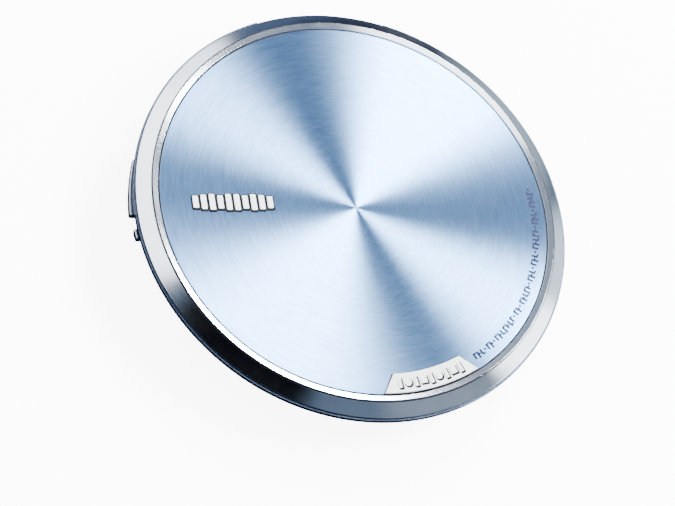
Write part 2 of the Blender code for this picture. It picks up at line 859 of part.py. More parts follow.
def feed_drive():
    main, small = gear_centres()
    tooth = 360.0 / GEAR_TEETH
    feed_gear = gear("feed_gear", GEAR_TEETH, tooth / 2.0, main, 1.15)
    on_axis("feed_gear_spin", (*main, 0.0), feed_gear)
    tooth = 360.0 / PINION_TEETH
    feed_pinion = gear("feed_pinion", PINION_TEETH, PINION_DIRECTION + 180.0 + tooth / 2.0, small, 0.95)
    shaft_profile = ((0.0, 8.7), (0.6, 8.7), (0.6, 5.0), (0.0, 5.0))
    shaft = turned("feed_shaft", "steel", shaft_profile, 12, small)
    on_axis("feed_pinion_spin", (*small, 0.0), feed_pinion, shaft)
    axle_profile = ((0.0, 8.75), (0.8, 8.75), (0.8, 6.95), (1.5, 6.95), (1.5, 6.4), (0.0, 6.4))
    turned("feed_gear_axle", "steel", axle_profile, 12, main)
    motor_profile = (
        (0.0, 4.8),
        (0.9, 4.8),
        (0.9, 6.9),
        (4.8, 6.9),
        (5.2, 6.6),
        (5.2, 3.9),
        (0.0, 3.9),
    )
    turned("feed_motor", "steel", motor_profile, INNER_STEPS // 2, small)


def pickup():
    y = LENS_Y
    sled = box("pickup_sled", "steel", (-16.4, y + 0.8, 4.6), (16.4, y + 10.5, 8.5))
    tower = box("sled_tower", None, (-7.4, y - 4.2, 4.6), (7.4, y + 9.0, 10.2))
    left = rod("sled_bore", None, ROD_R + 0.3, (-ROD_X, y - 9.0, ROD_Z), (-ROD_X, y + 20.0, ROD_Z), 16)
    right = rod("sled_fork", None, ROD_R + 0.3, (ROD_X, y - 9.0, ROD_Z), (ROD_X, y + 20.0, ROD_Z), 16)
    mouth = box("fork_mouth", None, (ROD_X - 1.2, y - 9.0, 3.0), (ROD_X + 1.2, y + 20.0, ROD_Z))
    join(sled, tower)
    cut(sled, left, right, mouth)
    rack = plate("sled_rack", "white_plastic", (rack_outline(),), (GEAR_BOTTOM, GEAR_TOP))
    on_axis("sled_slide", (0.0, y, ROD_Z), sled, rack)
    holder = box("lens_holder", "black_plastic", (-4.0, y - 3.6, 10.75), (4.0, y + 3.6, 11.4))
    cut(holder, rod("lens_seat", None, 2.35, (0.0, y, 10.0), (0.0, y, 12.0)))
    lens_profile = ((0.0, 11.95), (1.0, 11.8), (1.7, 11.45), (2.0, 11.1), (2.0, 10.8), (0.0, 10.8))
    lens = turned("objective_lens", "lens_glass", lens_profile, SMALL_STEPS, (0.0, y))
    on_axis("focus_slide", (0.0, y, 10.75), holder, lens)


def make_drive():
    spindle_motor()
    turntable()
    mech_chassis()
    dampers()
    guide_rods()
    feed_drive()
    pickup()


# ---------------------------------------------------------------- board and cells


def main_board():
    edge = CELL_FRONT_Y - 1.8
    side = math.degrees(math.asin(edge / BOARD_R))
    notch_r = SPINDLE_MOTOR_R + 1.5
    outline = arc_points(BOARD_R, side, -180.0 - side, 40)
    outline += [(-notch_r, edge)]
    outline += arc_points(notch_r, -180.0, 0.0, 14)
    outline += [(notch_r, edge)]
    plate("main_board", "board", (outline,), (BOARD_BOTTOM, BOARD_BOTTOM + BOARD_THICK))


def board_parts():
    top = BOARD_BOTTOM + BOARD_THICK + 0.3
    for name, ((x_low, x_high), (y_low, y_high), tall) in CHIPS.items():
        box(name, "black_plastic", (x_low, y_low, top), (x_high, y_high, top + tall), 0.2)
    profile = ((0.0, top + 5.2), (2.4, top + 5.2), (2.6, top + 5.0), (2.6, top), (0.0, top))
    turned("capacitor", "steel", profile, SMALL_STEPS, CAPACITOR_PLACE)
    x, y = polar(60.0, SWITCH_PLACE[1])
    box("lid_switch", "black_plastic", (x - 3.0, y - 3.0, 8.6), (x + 3.0, y + 3.0, 10.2))


def cells():
    length, width, tall = CELL
    for i in range(2):
        y = CELL_FRONT_Y + i * (width + 0.5)
        low = (-length / 2.0, y, CELL_BOTTOM)
        high = (length / 2.0, y + width, CELL_BOTTOM + tall)
        box(f"battery_cell_{i + 1}", "cell_wrap", low, high, 0.8)
        place = (-length / 2.0 - 0.7, y + width / 2.0, CELL_BOTTOM + tall / 2.0)
        coil(f"cell_spring_{i + 1}", "steel", 0.25, (1.4, 2.6), -3.0, 3, place)
    depth = 2.0 * width + 0.5
    low = (length / 2.0 + 0.4, CELL_FRONT_Y, CELL_BOTTOM + 0.6)
    high = (length / 2.0 + 0.9, CELL_FRONT_Y + depth - 1.5, CELL_BOTTOM + tall - 0.4)
    box("cell_contact_plate", "brass", low, high)
    bay = box("cell_bay", "black_plastic", (-BAY_HALF, BAY_FRONT, CELL_BOTTOM), (BAY_HALF, BAY_REAR, BAY_TOP))
    low = (-BAY_HALF + 0.7, BAY_FRONT + 0.7, 0.0)
    hollow = box("bay_hollow", None, low, (BAY_HALF - 0.7, 80.0, BAY_TOP - 0.7))
    cut(bay, hollow)


def make_electronics():
    main_board()
    board_parts()
    cells()
    socket("headphone_jack", PHONE_ANGLE, PHONE_Z, 1.75, 2.6, (11.0, 7.0, 5.8))
    jack = socket("power_jack", POWER_ANGLE, POWER_Z, 2.2, 2.8, (9.5, 8.0, 6.2))
    pin_start = (*polar(POWER_PIN[0], POWER_ANGLE), POWER_Z)
    pin_end = (*polar(POWER_PIN[1], POWER_ANGLE), POWER_Z)
    join(jack, rod("power_pin", None, 0.5, pin_start, pin_end, 10))


make_lid()
make_case()
make_keys()
make_drive()
make_electronics()
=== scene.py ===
"""The looks of the portable disc player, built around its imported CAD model.

Lengths in this file are in millimetres and become metres in the mesh helpers. The frame is the CAD's:
+Z up, +Y to the hinge, the origin on the disc's axis at the level of the feet.
"""

import json
import math

import bmesh
import bpy
from mathutils import Matrix, Vector


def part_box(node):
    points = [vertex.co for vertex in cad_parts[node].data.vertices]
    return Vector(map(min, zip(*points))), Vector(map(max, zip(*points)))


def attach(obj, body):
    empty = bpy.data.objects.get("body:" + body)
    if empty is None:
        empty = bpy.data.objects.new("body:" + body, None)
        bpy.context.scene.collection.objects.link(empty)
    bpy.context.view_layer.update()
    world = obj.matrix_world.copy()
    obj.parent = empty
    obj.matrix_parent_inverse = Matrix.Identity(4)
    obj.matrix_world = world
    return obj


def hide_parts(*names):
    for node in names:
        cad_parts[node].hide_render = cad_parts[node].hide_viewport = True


MM = 0.001

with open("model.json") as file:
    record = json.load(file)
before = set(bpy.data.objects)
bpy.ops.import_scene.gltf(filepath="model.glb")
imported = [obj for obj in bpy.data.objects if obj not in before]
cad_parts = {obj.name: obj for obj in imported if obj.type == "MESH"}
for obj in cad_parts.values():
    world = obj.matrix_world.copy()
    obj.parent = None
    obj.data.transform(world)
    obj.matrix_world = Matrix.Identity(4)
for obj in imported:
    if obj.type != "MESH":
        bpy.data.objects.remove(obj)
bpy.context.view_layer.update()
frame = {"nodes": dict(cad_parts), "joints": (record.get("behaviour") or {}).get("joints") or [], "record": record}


def node_box(node):
    """A CAD node's lowest and highest corners, in millimetres."""
    low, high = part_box(node)
    return low / MM, high / MM


def outer_radius(node):
    """The largest distance of a CAD node's points from the disc's axis, in millimetres."""
    return max(v.co.xy.length for v in frame["nodes"][node].data.vertices) / MM


# Driving sizes, read from the CAD
DISC_TOP = node_box("lid_disc")[1].z
DISC_R = outer_radius("lid_disc")
RING_TOP = node_box("lid_ring")[1].z
RING_R = outer_radius("lid_ring")
BAND_R = outer_radius("side_band")
BAND_LOW = node_box("side_band")[0].z
BAND_TOP = node_box("side_band")[1].z
KEY_LOW, KEY_TOP = (node_box("open_slider")[i].z for i in range(2))
HINGE = Vector(next(j for j in frame["joints"] if j["name"] == "lid_hinge")["pos_m"]) / MM
LENS = (node_box("objective_lens")[0] + node_box("objective_lens")[1]) / 2.0

ROUND = 288


# ---------------- mesh helpers


def fillet(points, closed):
    """Rounds an outline's corners. Its points are (across, up) or (across, up, corner radius)."""
    found = []
    count = len(points)
    for i, (x, y, *rounding) in enumerate(points):
        corner = Vector((x, y))
        at_end = not closed and i in (0, count - 1)
        if not rounding or at_end:
            found.append((x, y))
            continue
        before = Vector(points[i - 1][:2]) - corner
        after = Vector(points[(i + 1) % count][:2]) - corner
        half = before.angle(after) / 2.0
        reach = min(rounding[0] / math.tan(half), 0.48 * before.length, 0.48 * after.length)
        real = reach * math.tan(half)
        middle = (before.normalized() + after.normalized()).normalized()
        centre = corner + middle * (real / math.sin(half))
        start = corner + before.normalized() * reach - centre
        end = corner + after.normalized() * reach - centre
        sweep = start.angle_signed(end)
        steps = max(2, round(abs(sweep) / math.radians(18.0)))
        for k in range(steps + 1):
            turn = Matrix.Rotation(-sweep * k / steps, 2)
            point = centre + turn @ start
            found.append((point.x, point.y))
    return found


def finish_mesh(bm, name, sharp=32.0):
    bmesh.ops.recalc_face_normals(bm, faces=bm.faces)
    mesh = bpy.data.meshes.new(name)
    bm.to_mesh(mesh)
    bm.free()
    mesh.shade_smooth()
    mesh.set_sharp_from_angle(angle=math.radians(sharp))
    return mesh


def add(name, mesh, material=None):
    obj = bpy.data.objects.new(name, mesh)
    bpy.context.scene.collection.objects.link(obj)
    if material is not None:
        mesh.materials.append(material)
    return obj


def lathe(name, profile, material=None, steps=ROUND, centre=(0.0, 0.0)):
    """A turned piece. Its points are (radius, height, corner radius), and it stays open on the axis."""
    closed = profile[0][0] > 0.0
    outline = fillet(profile, closed)
    bm = bmesh.new()
    verts = [bm.verts.new((r * MM, 0.0, z * MM)) for r, z in outline]
    edges = [bm.edges.new(pair) for pair in zip(verts, verts[1:])]
    if closed:
        edges.append(bm.edges.new((verts[-1], verts[0])))
    bmesh.ops.spin(
        bm,
        geom=verts + edges,
        cent=(0, 0, 0),
        axis=(0, 0, 1),
        dvec=(0, 0, 0),
        angle=2.0 * math.pi,
        steps=steps,
        use_merge=True,
        use_duplicate=False,
    )
    bmesh.ops.remove_doubles(bm, verts=bm.verts, dist=0.0000005)
    bmesh.ops.translate(bm, verts=bm.verts, vec=(centre[0] * MM, centre[1] * MM, 0.0))
    obj = add(name, finish_mesh(bm, name), material)
    flatten(obj)
    return obj


def arc_block(name, section, angles, material=None, step=1.0, swell=0.0, rounding=0.0):
    """A section of (radius, height) bent round the axis, swelling outward towards the last angle."""
    start, end = (math.radians(a) for a in angles)
    steps = max(3, round(math.degrees(end - start) / step))
    middle = sum(r for r, _ in section) / len(section)
    bm = bmesh.new()
    rings = []
    for k in range(steps + 1):
        share = k / steps
        angle = start + (end - start) * share
        ring = []
        for r, z in section:
            reach = r + (swell * share if r > middle else 0.0)
            ring.append(bm.verts.new((reach * math.cos(angle) * MM, reach * math.sin(angle) * MM, z * MM)))
        rings.append(ring)
    count = len(section)
    for a, b in zip(rings, rings[1:]):
        for i in range(count):
            j = (i + 1) % count
            bm.faces.new((a[i], a[j], b[j], b[i]))
    bm.faces.new(rings[0])
    bm.faces.new(rings[-1])
    obj = add(name, finish_mesh(bm, name), material)
    if rounding:
        soften(obj, rounding)
    return obj


def box(name, low, high, material=None, rounding=0.0):
    bm = bmesh.new()
    size = [(b - a) * MM for a, b in zip(low, high)]
    centre = [(a + b) / 2.0 * MM for a, b in zip(low, high)]
    place = Matrix.Translation(centre) @ Matrix.Diagonal((*size, 1.0))
    bmesh.ops.create_cube(bm, size=1.0, matrix=place)
    obj = add(name, finish_mesh(bm, name), material)
    if rounding:
        soften(obj, rounding)
    return obj


def slab(name, centre, half, low, high, material=None, rounding=0.0):
    """A box round a centre in X and Y, with half sizes, between two heights."""
    (x, y), (wide, deep) = centre, half
    return box(name, (x - wide, y - deep, low), (x + wide, y + deep, high), material, rounding)


def rod(name, radius, start, end, material=None, steps=32):
    a = Vector(start) * MM
    b = Vector(end) * MM
    bm = bmesh.new()
    turn = (b - a).to_track_quat("Z", "Y").to_matrix().to_4x4()
    bmesh.ops.create_cone(
        bm,
        cap_ends=True,
        segments=steps,
        radius1=radius * MM,
        radius2=radius * MM,
        depth=(b - a).length,
        matrix=Matrix.Translation((a + b) / 2.0) @ turn,
    )
    return add(name, finish_mesh(bm, name), material)


def prism(name, outlines, low, high, material=None, rounding=0.0):
    """Flat pieces with the same heights, each a closed outline in X and Y, joined in one mesh."""
    bm = bmesh.new()
    for outline in outlines:
        verts = [bm.verts.new((x * MM, y * MM, low * MM)) for x, y in outline]
        face = bm.faces.new(verts)
        made = bmesh.ops.extrude_face_region(bm, geom=[face])
        up = [v for v in made["geom"] if isinstance(v, bmesh.types.BMVert)]
        bmesh.ops.translate(bm, verts=up, vec=(0.0, 0.0, (high - low) * MM))
    obj = add(name, finish_mesh(bm, name), material)
    if rounding:
        soften(obj, rounding)
    return obj


def soften(obj, width, segments=3):
    """Rounds a piece's sharp edges and keeps its flats flat."""
    bevel = obj.modifiers.new("rounding", "BEVEL")
    bevel.width = width * MM
    bevel.segments = segments
    bevel.limit_method = "ANGLE"
    bevel.angle_limit = math.radians(35.0)
    settle(obj)
    flatten(obj)
    return obj


def flatten(obj):
    """Keeps a piece's flats flat where they meet its rounded corners."""
    even = obj.modifiers.new("even", "WEIGHTED_NORMAL")
    even.keep_sharp = True
    even.weight = 100
    bake(obj)


def bake(obj):
    """Turns a piece's modifiers into its mesh."""
    depsgraph = bpy.context.evaluated_depsgraph_get()
    mesh = bpy.data.meshes.new_from_object(obj.evaluated_get(depsgraph))
    obj.modifiers.clear()
    obj.data = mesh
    return mesh


def settle(obj, sharp=32.0):
    """Bakes a piece and marks its sharp edges again."""
    mesh = bake(obj)
    mesh.shade_smooth()
    mesh.set_sharp_from_angle(angle=math.radians(sharp))


def carve(obj, cutters, operation="DIFFERENCE"):
    """Cuts the cutters out of a piece, or joins them to it, and removes them."""
    for cutter in cutters:
        modifier = obj.modifiers.new("carve", "BOOLEAN")
        modifier.operation = operation
        modifier.object = cutter
        modifier.solver = "EXACT"
    settle(obj)
    flatten(obj)
    for cutter in cutters:
        bpy.data.objects.remove(cutter, do_unlink=True)
    return obj


def merged(name, pieces):
    """Several pieces with the same material made one, without a Boolean."""
    bm = bmesh.new()
    for piece in pieces:
        bm.from_mesh(piece.data)
    mesh = finish_mesh(bm, name)
    for material in pieces[0].data.materials:
        mesh.materials.append(material)
    for piece in pieces:
        bpy.data.objects.remove(piece, do_unlink=True)
    return add(name, mesh)


def turned(obj, degrees):
    """Turns a piece's mesh about the disc's axis."""
    obj.data.transform(Matrix.Rotation(math.radians(degrees), 4, "Z"))
    return obj


def polar(radius, degrees):
    angle = math.radians(degrees)
    return radius * math.cos(angle), radius * math.sin(angle)


def block_section(inner, outer, low, high):
    """The rectangle of a plain ring or bent block, between two radii and two heights."""
    return ((inner, low), (outer, low), (outer, high), (inner, high))


def arc(radius, start, end, count, centre=(0.0, 0.0)):
    found = []
    for i in range(count + 1):
        x, y = polar(radius, start + (end - start) * i / count)
        found.append((x + centre[0], y + centre[1]))
    return found


def belongs(obj, body, slot, *nodes):
    """Says what a finished piece rides on and which CAD nodes it stands for, and hides those nodes. Its slot is
    not used.
    """
    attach(obj, body)
    if nodes:
        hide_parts(*nodes)
    return obj


# ---------------- materials


def add_node(tree, kind, inputs=None, **settings):
    """A new node. Its inputs are values, or other nodes' outputs to link."""
    made = tree.nodes.new(kind)
    for key, value in settings.items():
        setattr(made, key, value)
    for key, value in (inputs or {}).items():
        if isinstance(value, bpy.types.NodeSocket):
            tree.links.new(value, made.inputs[key])
        else:
            made.inputs[key].default_value = value
    return made


def blend(tree, amount, first, second):
    """A colour between two, of which the first may be a node's output."""
    # A Mix node's colour inputs are its sixth and seventh, and its colour output the second
    inputs = {"Factor": amount, 6: first, 7: (*second, 1.0)}
    return add_node(tree, "ShaderNodeMix", inputs, data_type="RGBA").outputs[2]


class Shader:
    """A Principled material and short ways to add the nodes that vary it."""

    def __init__(self, name, colour, roughness, metallic=0.0, **sockets):
        self.material = bpy.data.materials.new(name)
        self.material.use_nodes = True
        self.tree = self.material.node_tree
        self.shader = self.tree.nodes["Principled BSDF"]
        self.shader.inputs["Base Color"].default_value = (*colour, 1.0)
        self.shader.inputs["Roughness"].default_value = roughness
        self.shader.inputs["Metallic"].default_value = metallic
        for socket, value in sockets.items():
            self.shader.inputs[socket.replace("_", " ")].default_value = value
        coords = self.tree.nodes.new("ShaderNodeTexCoord")
        self.place = coords.outputs["Object"]

    def link(self, output, socket):
        self.tree.links.new(output, self.shader.inputs[socket])

    def node(self, kind, inputs=None, **settings):
        return add_node(self.tree, kind, inputs, **settings)

    def done(self, colour=None, roughness=None, normal=None):
        """Links what varies and gives the finished material."""
        for output, socket in ((colour, "Base Color"), (roughness, "Roughness"), (normal, "Normal")):
            if output is not None:
                self.link(output, socket)
        return self.material

    def maths(self, operation, a, b=0.0):
        return self.node("ShaderNodeMath", {0: a, 1: b}, operation=operation).outputs[0]

    def noise(self, scale, detail=3.0, roughness=0.55, vector=None):
        made = self.node(
            "ShaderNodeTexNoise",
            {"Vector": vector or self.place, "Scale": scale, "Detail": detail, "Roughness": roughness},
        )
        return made.outputs["Fac"]

    def spread(self, value, low, high, start=0.3, end=0.7):
        """A value between start and end taken to one between low and high."""
        made = self.node(
            "ShaderNodeMapRange",
            {"Value": value, "From Min": start, "From Max": end, "To Min": low, "To Max": high},
        )
        return made.outputs["Result"]

    def tint(self, value, first, second, start=0.3, end=0.7):
        """A colour between two, as a value goes from start to end."""
        ramp = self.node("ShaderNodeValToRGB", {"Fac": value})
        stops = ramp.color_ramp.elements
        stops[0].position = start
        stops[0].color = (*first, 1.0)
        stops[1].position = end
        stops[1].color = (*second, 1.0)
        return ramp.outputs["Color"]

    def bump(self, height, strength, distance, base=None):
        inputs = {"Height": height, "Strength": strength, "Distance": distance * MM}
        if base is not None:
            inputs["Normal"] = base
        return self.node("ShaderNodeBump", inputs).outputs["Normal"]

    def round_coords(self, across, around):
        """Coordinates for marks round the axis: cells are 1/across long outward and 1/around along."""
        parts = self.node("ShaderNodeSeparateXYZ", {"Vector": self.place})
        x, y = parts.outputs["X"], parts.outputs["Y"]
        square = self.maths("ADD", self.maths("MULTIPLY", x, x), self.maths("MULTIPLY", y, y))
        radius = self.maths("MAXIMUM", self.maths("SQRT", square), 0.00001)
        turned_x = self.maths("DIVIDE", x, radius)
        turned_y = self.maths("DIVIDE", y, radius)
        made = self.node(
            "ShaderNodeCombineXYZ",
            {
                "X": self.maths("MULTIPLY", radius, across / MM),
                "Y": self.maths("MULTIPLY", turned_x, around),
                "Z": self.maths("MULTIPLY", turned_y, around),
            },
        )
        return made.outputs["Vector"]


def brushed_disc():
    """Aluminium turned under a brush: fine rings, and a sheen that fans out from the middle."""
    s = Shader("brushed_disc", (0.24, 0.46, 0.82), 0.34, 1.0, Anisotropic=1.0, Anisotropic_Rotation=0.25)
    tangent = s.node("ShaderNodeTangent", direction_type="RADIAL", axis="Z")
    s.link(tangent.outputs["Tangent"], "Tangent")
    fine = s.noise(1.0, 2.0, 0.6, s.round_coords(5.0, 9.0))
    coarse = s.noise(1.0, 3.0, 0.6, s.round_coords(1.1, 5.0))
    fans = s.noise(1.0, 2.0, 0.5, s.round_coords(0.02, 26.0))
    grain = s.maths("ADD", s.maths("MULTIPLY", fine, 0.6), s.maths("MULTIPLY", coarse, 0.4))
    gloss = s.maths("ADD", grain, s.maths("MULTIPLY", fans, 0.5))
    return s.done(
        s.tint(grain, (0.19, 0.37, 0.71), (0.31, 0.55, 0.94), 0.34, 0.66),
        s.spread(gloss, 0.285, 0.325, 0.5, 1.0),
        s.bump(grain, 0.1, 0.01),
    )


def satin_metal(name, colour, roughness, grain=0.05):
    """Blasted and plated metal: a very fine even grain, faint clouds and a worn gloss."""
    s = Shader(name, colour, roughness, 1.0)
    clouds = s.noise(60.0, 4.0, 0.6)
    fine = s.noise(5200.0, 2.0, 0.5)
    dark = tuple(c * 0.93 for c in colour)
    mixed = s.maths("ADD", s.maths("MULTIPLY", clouds, 0.6), s.maths("MULTIPLY", fine, 0.4))
    return s.done(
        s.tint(clouds, dark, colour),
        s.spread(mixed, roughness - 0.04, roughness + 0.05),
        s.bump(fine, grain, 0.01),
    )


def lacquer(name, colour, roughness, metallic):
    """Pale silver paint: fine flakes under a thin clear coat."""
    s = Shader(name, colour, roughness, metallic, Coat_Weight=0.15)
    flakes = s.noise(6000.0, 2.0, 0.5)
    clouds = s.noise(120.0, 3.0)
    return s.done(
        s.tint(clouds, tuple(c * 0.96 for c in colour), colour),
        s.spread(flakes, roughness - 0.05, roughness + 0.08),
        s.bump(flakes, 0.08, 0.01),
    )


def moulded(name, colour, roughness, texture=0.25, scale=2600.0):
    """Moulded plastic: a fine spark texture, slight gloss changes and faint handling marks."""
    s = Shader(name, colour, roughness)
    sparks = s.noise(scale, 3.0, 0.6)
    clouds = s.noise(90.0, 4.0, 0.55)
    light = tuple(min(1.0, c * 1.25 + 0.004) for c in colour)
    return s.done(
        s.tint(clouds, colour, light),
        s.spread(clouds, roughness - 0.05, roughness + 0.07),
        s.bump(sparks, texture, 0.03),
    )


def rubber_like():
    s = Shader("soft_rubber", (0.035, 0.036, 0.04), 0.78)
    pores = s.noise(3400.0, 4.0, 0.7)
    return s.done(
        s.tint(s.noise(140.0), (0.03, 0.031, 0.034), (0.055, 0.056, 0.06)),
        s.spread(pores, 0.70, 0.88),
        s.bump(pores, 0.4, 0.04),
    )


def drawn_steel(name, colour, roughness):
    """Rolled or ground steel with short scratches and a slightly oily gloss."""
    s = Shader(name, colour, roughness, 1.0)
    stretched = s.node("ShaderNodeMapping", {"Vector": s.place, "Scale": (300.0, 4200.0, 4200.0)})
    lines = s.noise(1.0, 3.0, 0.6, stretched.outputs["Vector"])
    stains = s.noise(110.0, 4.0, 0.6)
    return s.done(
        s.tint(stains, tuple(c * 0.85 for c in colour), colour),
        s.spread(lines, roughness - 0.06, roughness + 0.10),
        s.bump(lines, 0.15, 0.01),
    )


def circuit_board():
    """Green coated laminate with copper tracks that show through as lighter lines."""
    s = Shader("circuit_board", (0.03, 0.17, 0.08), 0.38, 0.0, Coat_Weight=0.3)
    bricks = s.node(
        "ShaderNodeTexBrick",
        {"Vector": s.place, "Scale": 420.0, "Mortar Size": 0.045, "Brick Width": 0.9, "Row Height": 0.22},
    )
    clouds = s.noise(160.0)
    base = s.tint(clouds, (0.022, 0.13, 0.06), (0.035, 0.18, 0.085))
    return s.done(
        colour=blend(s.tree, bricks.outputs["Fac"], base, (0.09, 0.33, 0.14)),
        normal=s.bump(bricks.outputs["Fac"], 0.3, 0.03),
    )


def sleeve():
    """A cell's printed shrink sleeve."""
    s = Shader("cell_sleeve", (0.06, 0.16, 0.34), 0.28, 0.0, Coat_Weight=0.5)
    parts = s.node("ShaderNodeSeparateXYZ", {"Vector": s.place})
    stripe = s.maths("GREATER_THAN", s.maths("ABSOLUTE", parts.outputs["X"]), 0.026)
    ripple = s.noise(400.0, 2.0)
    base = s.tint(ripple, (0.05, 0.14, 0.30), (0.07, 0.18, 0.38))
    return s.done(
        colour=blend(s.tree, stripe, base, (0.55, 0.57, 0.60)),
        normal=s.bump(ripple, 0.1, 0.05),
    )


def coated_glass():
    s = Shader("coated_lens", (0.30, 0.42, 0.85), 0.04, 0.0, Coat_Weight=0.6, IOR=1.52)
    return s.done(
        s.tint(s.noise(700.0), (0.26, 0.36, 0.80), (0.36, 0.46, 0.90)),
        s.spread(s.noise(1500.0), 0.03, 0.07),
    )


def white_ink():
    s = Shader("white_enamel", (0.86, 0.88, 0.90), 0.32, 0.0, Coat_Weight=0.2)
    return s.done(
        colour=s.tint(s.noise(900.0), (0.80, 0.83, 0.87), (0.92, 0.93, 0.95)),
        normal=s.bump(s.noise(3000.0), 0.1, 0.01),
    )


# Near-black for painted shade and shadow: round the disc, at the crest's step, round the badge and its marks, and
# under the emblem's bars.
def painted_shade_black():
    s = Shader("painted_shade_black_material", (0.004, 0.005, 0.008), 0.65, Specular_IOR_Level=0.1)
    return s.done(
        colour=s.tint(s.noise(1800.0), (0.002, 0.003, 0.005), (0.007, 0.008, 0.012)),
        normal=s.bump(s.noise(3200.0), 0.3, 0.02),
    )


def dark_ink():
    s = Shader("dark_print", (0.006, 0.012, 0.05), 0.55, Specular_IOR_Level=0.1)
    return s.done(s.tint(s.noise(2500.0), (0.004, 0.008, 0.035), (0.010, 0.018, 0.065)))


DISC = brushed_disc()
RING = satin_metal("satin_ring", (0.76, 0.81, 0.88), 0.13, 0.03)
BADGE = lacquer("badge_lacquer", (0.86, 0.88, 0.86), 0.30, 0.25)
BAND = satin_metal("side_band_metal", (0.20, 0.26, 0.36), 0.24)
KEYS = satin_metal("key_plating", (0.62, 0.66, 0.73), 0.28)
SHELL = moulded("shell_plastic", (0.020, 0.028, 0.050), 0.42)
TRAY = moulded("tray_plastic", (0.075, 0.082, 0.095), 0.46)
BLACK = moulded("black_plastic", (0.018, 0.018, 0.021), 0.40, 0.15)
WHITE = moulded("white_plastic", (0.72, 0.71, 0.66), 0.38, 0.08)
RUBBER = rubber_like()
STEEL = drawn_steel("ground_steel", (0.55, 0.56, 0.58), 0.26)
BRASS = drawn_steel("contact_brass", (0.78, 0.60, 0.28), 0.26)
BOARD = circuit_board()
SLEEVE = sleeve()
GLASS = coated_glass()
WHITE_INK = white_ink()
DARK_INK = dark_ink()
PAINTED_SHADE = painted_shade_black()

SLOT_FINISH = {
    "ring_metal": RING,
    "disc_metal": DISC,
    "badge_metal": BADGE,
    "band_metal": BAND,
    "key_metal": KEYS,
    "steel": STEEL,
    "brass": BRASS,
    "shell_plastic": SHELL,
    "tray_plastic": TRAY,
    "black_plastic": BLACK,
    "white_plastic": WHITE,
    "rubber": RUBBER,
    "board": BOARD,
    "cell_wrap": SLEEVE,
    "lens_glass": GLASS,
}


def finish_cad_nodes():
    """Every CAD node takes the finished material of its slot."""
    for entry in frame["record"]["subparts"]:
        obj = frame["nodes"][entry["node"]]
        for slot in obj.material_slots:
            slot.material = SLOT_FINISH[entry["material_slot"]]


# ---------------- lid


CREST_R = 64.1
STEP_R = 64.2
STEP_DEPTH = 0.42
FACET_FOOT = (68.3, 15.1, 0.5)
RIM_HEIGHT = 14.92
LEDGE = 15.72
LEDGE_R = 60.9


def make_ring():
    """The satin ring: an inner facet up to the crest, a small step down, and a wide outer facet."""
    crest = RING_TOP
    low = node_box("lid_ring")[0].z
    profile = (
        (DISC_R + 0.32, DISC_TOP - 0.2, 0.05), (DISC_R + 0.42, DISC_TOP + 0.02, 0.08),
        (CREST_R, crest - 0.02, 0.08), (STEP_R, crest - STEP_DEPTH),
        FACET_FOOT,
        (RING_R - 0.02, RIM_HEIGHT, 0.1), (RING_R - 0.12, low + 0.02, 0.1),
        (67.3, low + 0.02, 0.2), (66.3, LEDGE, 0.2), (LEDGE_R, LEDGE, 0.1),
        (LEDGE_R, 16.38, 0.1), (DISC_R + 0.32, 16.38, 0.1),
    )
    ring = lathe("ring", profile, RING)
    # Room for the hinge arms, at the rear
    carve(ring, [arc_block("relief", block_section(60.0, 67.0, 13.0, 15.76), (78.5, 101.5))])
    belongs(ring, "lid", "ring_metal", "lid_ring")
    # Painted shade in black: a ring round the disc where the gap between disc and ring is shaded, and a thin ring
    # at the foot of the step on the crest, where the groove is shaded
    gap_shade = lathe("disc_gap_shade", block_section(DISC_R - 0.12, DISC_R + 0.34, 16.4, DISC_TOP - 0.16), PAINTED_SHADE)
    crest_shade = lathe("crest_step_shade", block_section(64.12, 64.5, crest - 0.7, crest - 0.34), PAINTED_SHADE)
    belongs(merged("lid_painted_shade", [gap_shade, crest_shade]), "lid", "black_plastic")


def make_disc():
    low = node_box("lid_disc")[0].z
    profile = (
        (0.0, DISC_TOP), (DISC_R - 0.14, DISC_TOP, 0.12), (DISC_R - 0.14, low, 0.1),
        (0.0, low),
    )
    belongs(lathe("disc_face", profile, DISC), "lid", "disc_metal", "lid_disc")


BADGE_MARKS = ("bar", "dot", "bar", "square", "bar", "dot", "bar", "square", "bar")
BADGE_MARK_R = 58.75
BADGE_FIRST_MARK = -86.0
BADGE_MARK_STEP = 2.55


def make_badge():
    """The trapezoid badge: a plate with a rounded edge and plain raised marks, with black painted shadow round the
    plate and under each mark.
    """
    low = DISC_TOP + 0.02
    top = node_box("lid_badge")[1].z
    plate = arc(61.8, -91.0, -61.0, 40) + arc(55.55, -63.9, -87.4, 32)
    badge = prism("badge", (plate,), low, top - 0.14, BADGE, 0.16)
    belongs(badge, "lid", "badge_metal", "lid_badge")
    # A black rim a little wider than the plate, just above the disc: painted shadow round the plate's edge.
    shadow_rim = arc(61.95, -91.25, -60.85, 40) + arc(55.25, -63.7, -87.7, 32)
    painted_shadows = [prism("badge_shadow_rim", (shadow_rim,), DISC_TOP + 0.004, low + 0.03, PAINTED_SHADE)]
    marks = []
    for k, kind in enumerate(BADGE_MARKS):
        angle = BADGE_FIRST_MARK + k * BADGE_MARK_STEP
        # Under each mark, a grown black copy set to the lower right: its painted shadow.
        painted_shadows.append(badge_mark("shade", kind, angle, (top - 0.2, top - 0.07), PAINTED_SHADE, 0.3))
        marks.append(badge_mark("mark", kind, angle, (top - 0.12, top), BADGE))
    belongs(merged("badge_painted_shadows", painted_shadows), "lid", "black_plastic")
    belongs(merged("badge_marks", marks), "lid", "badge_metal")


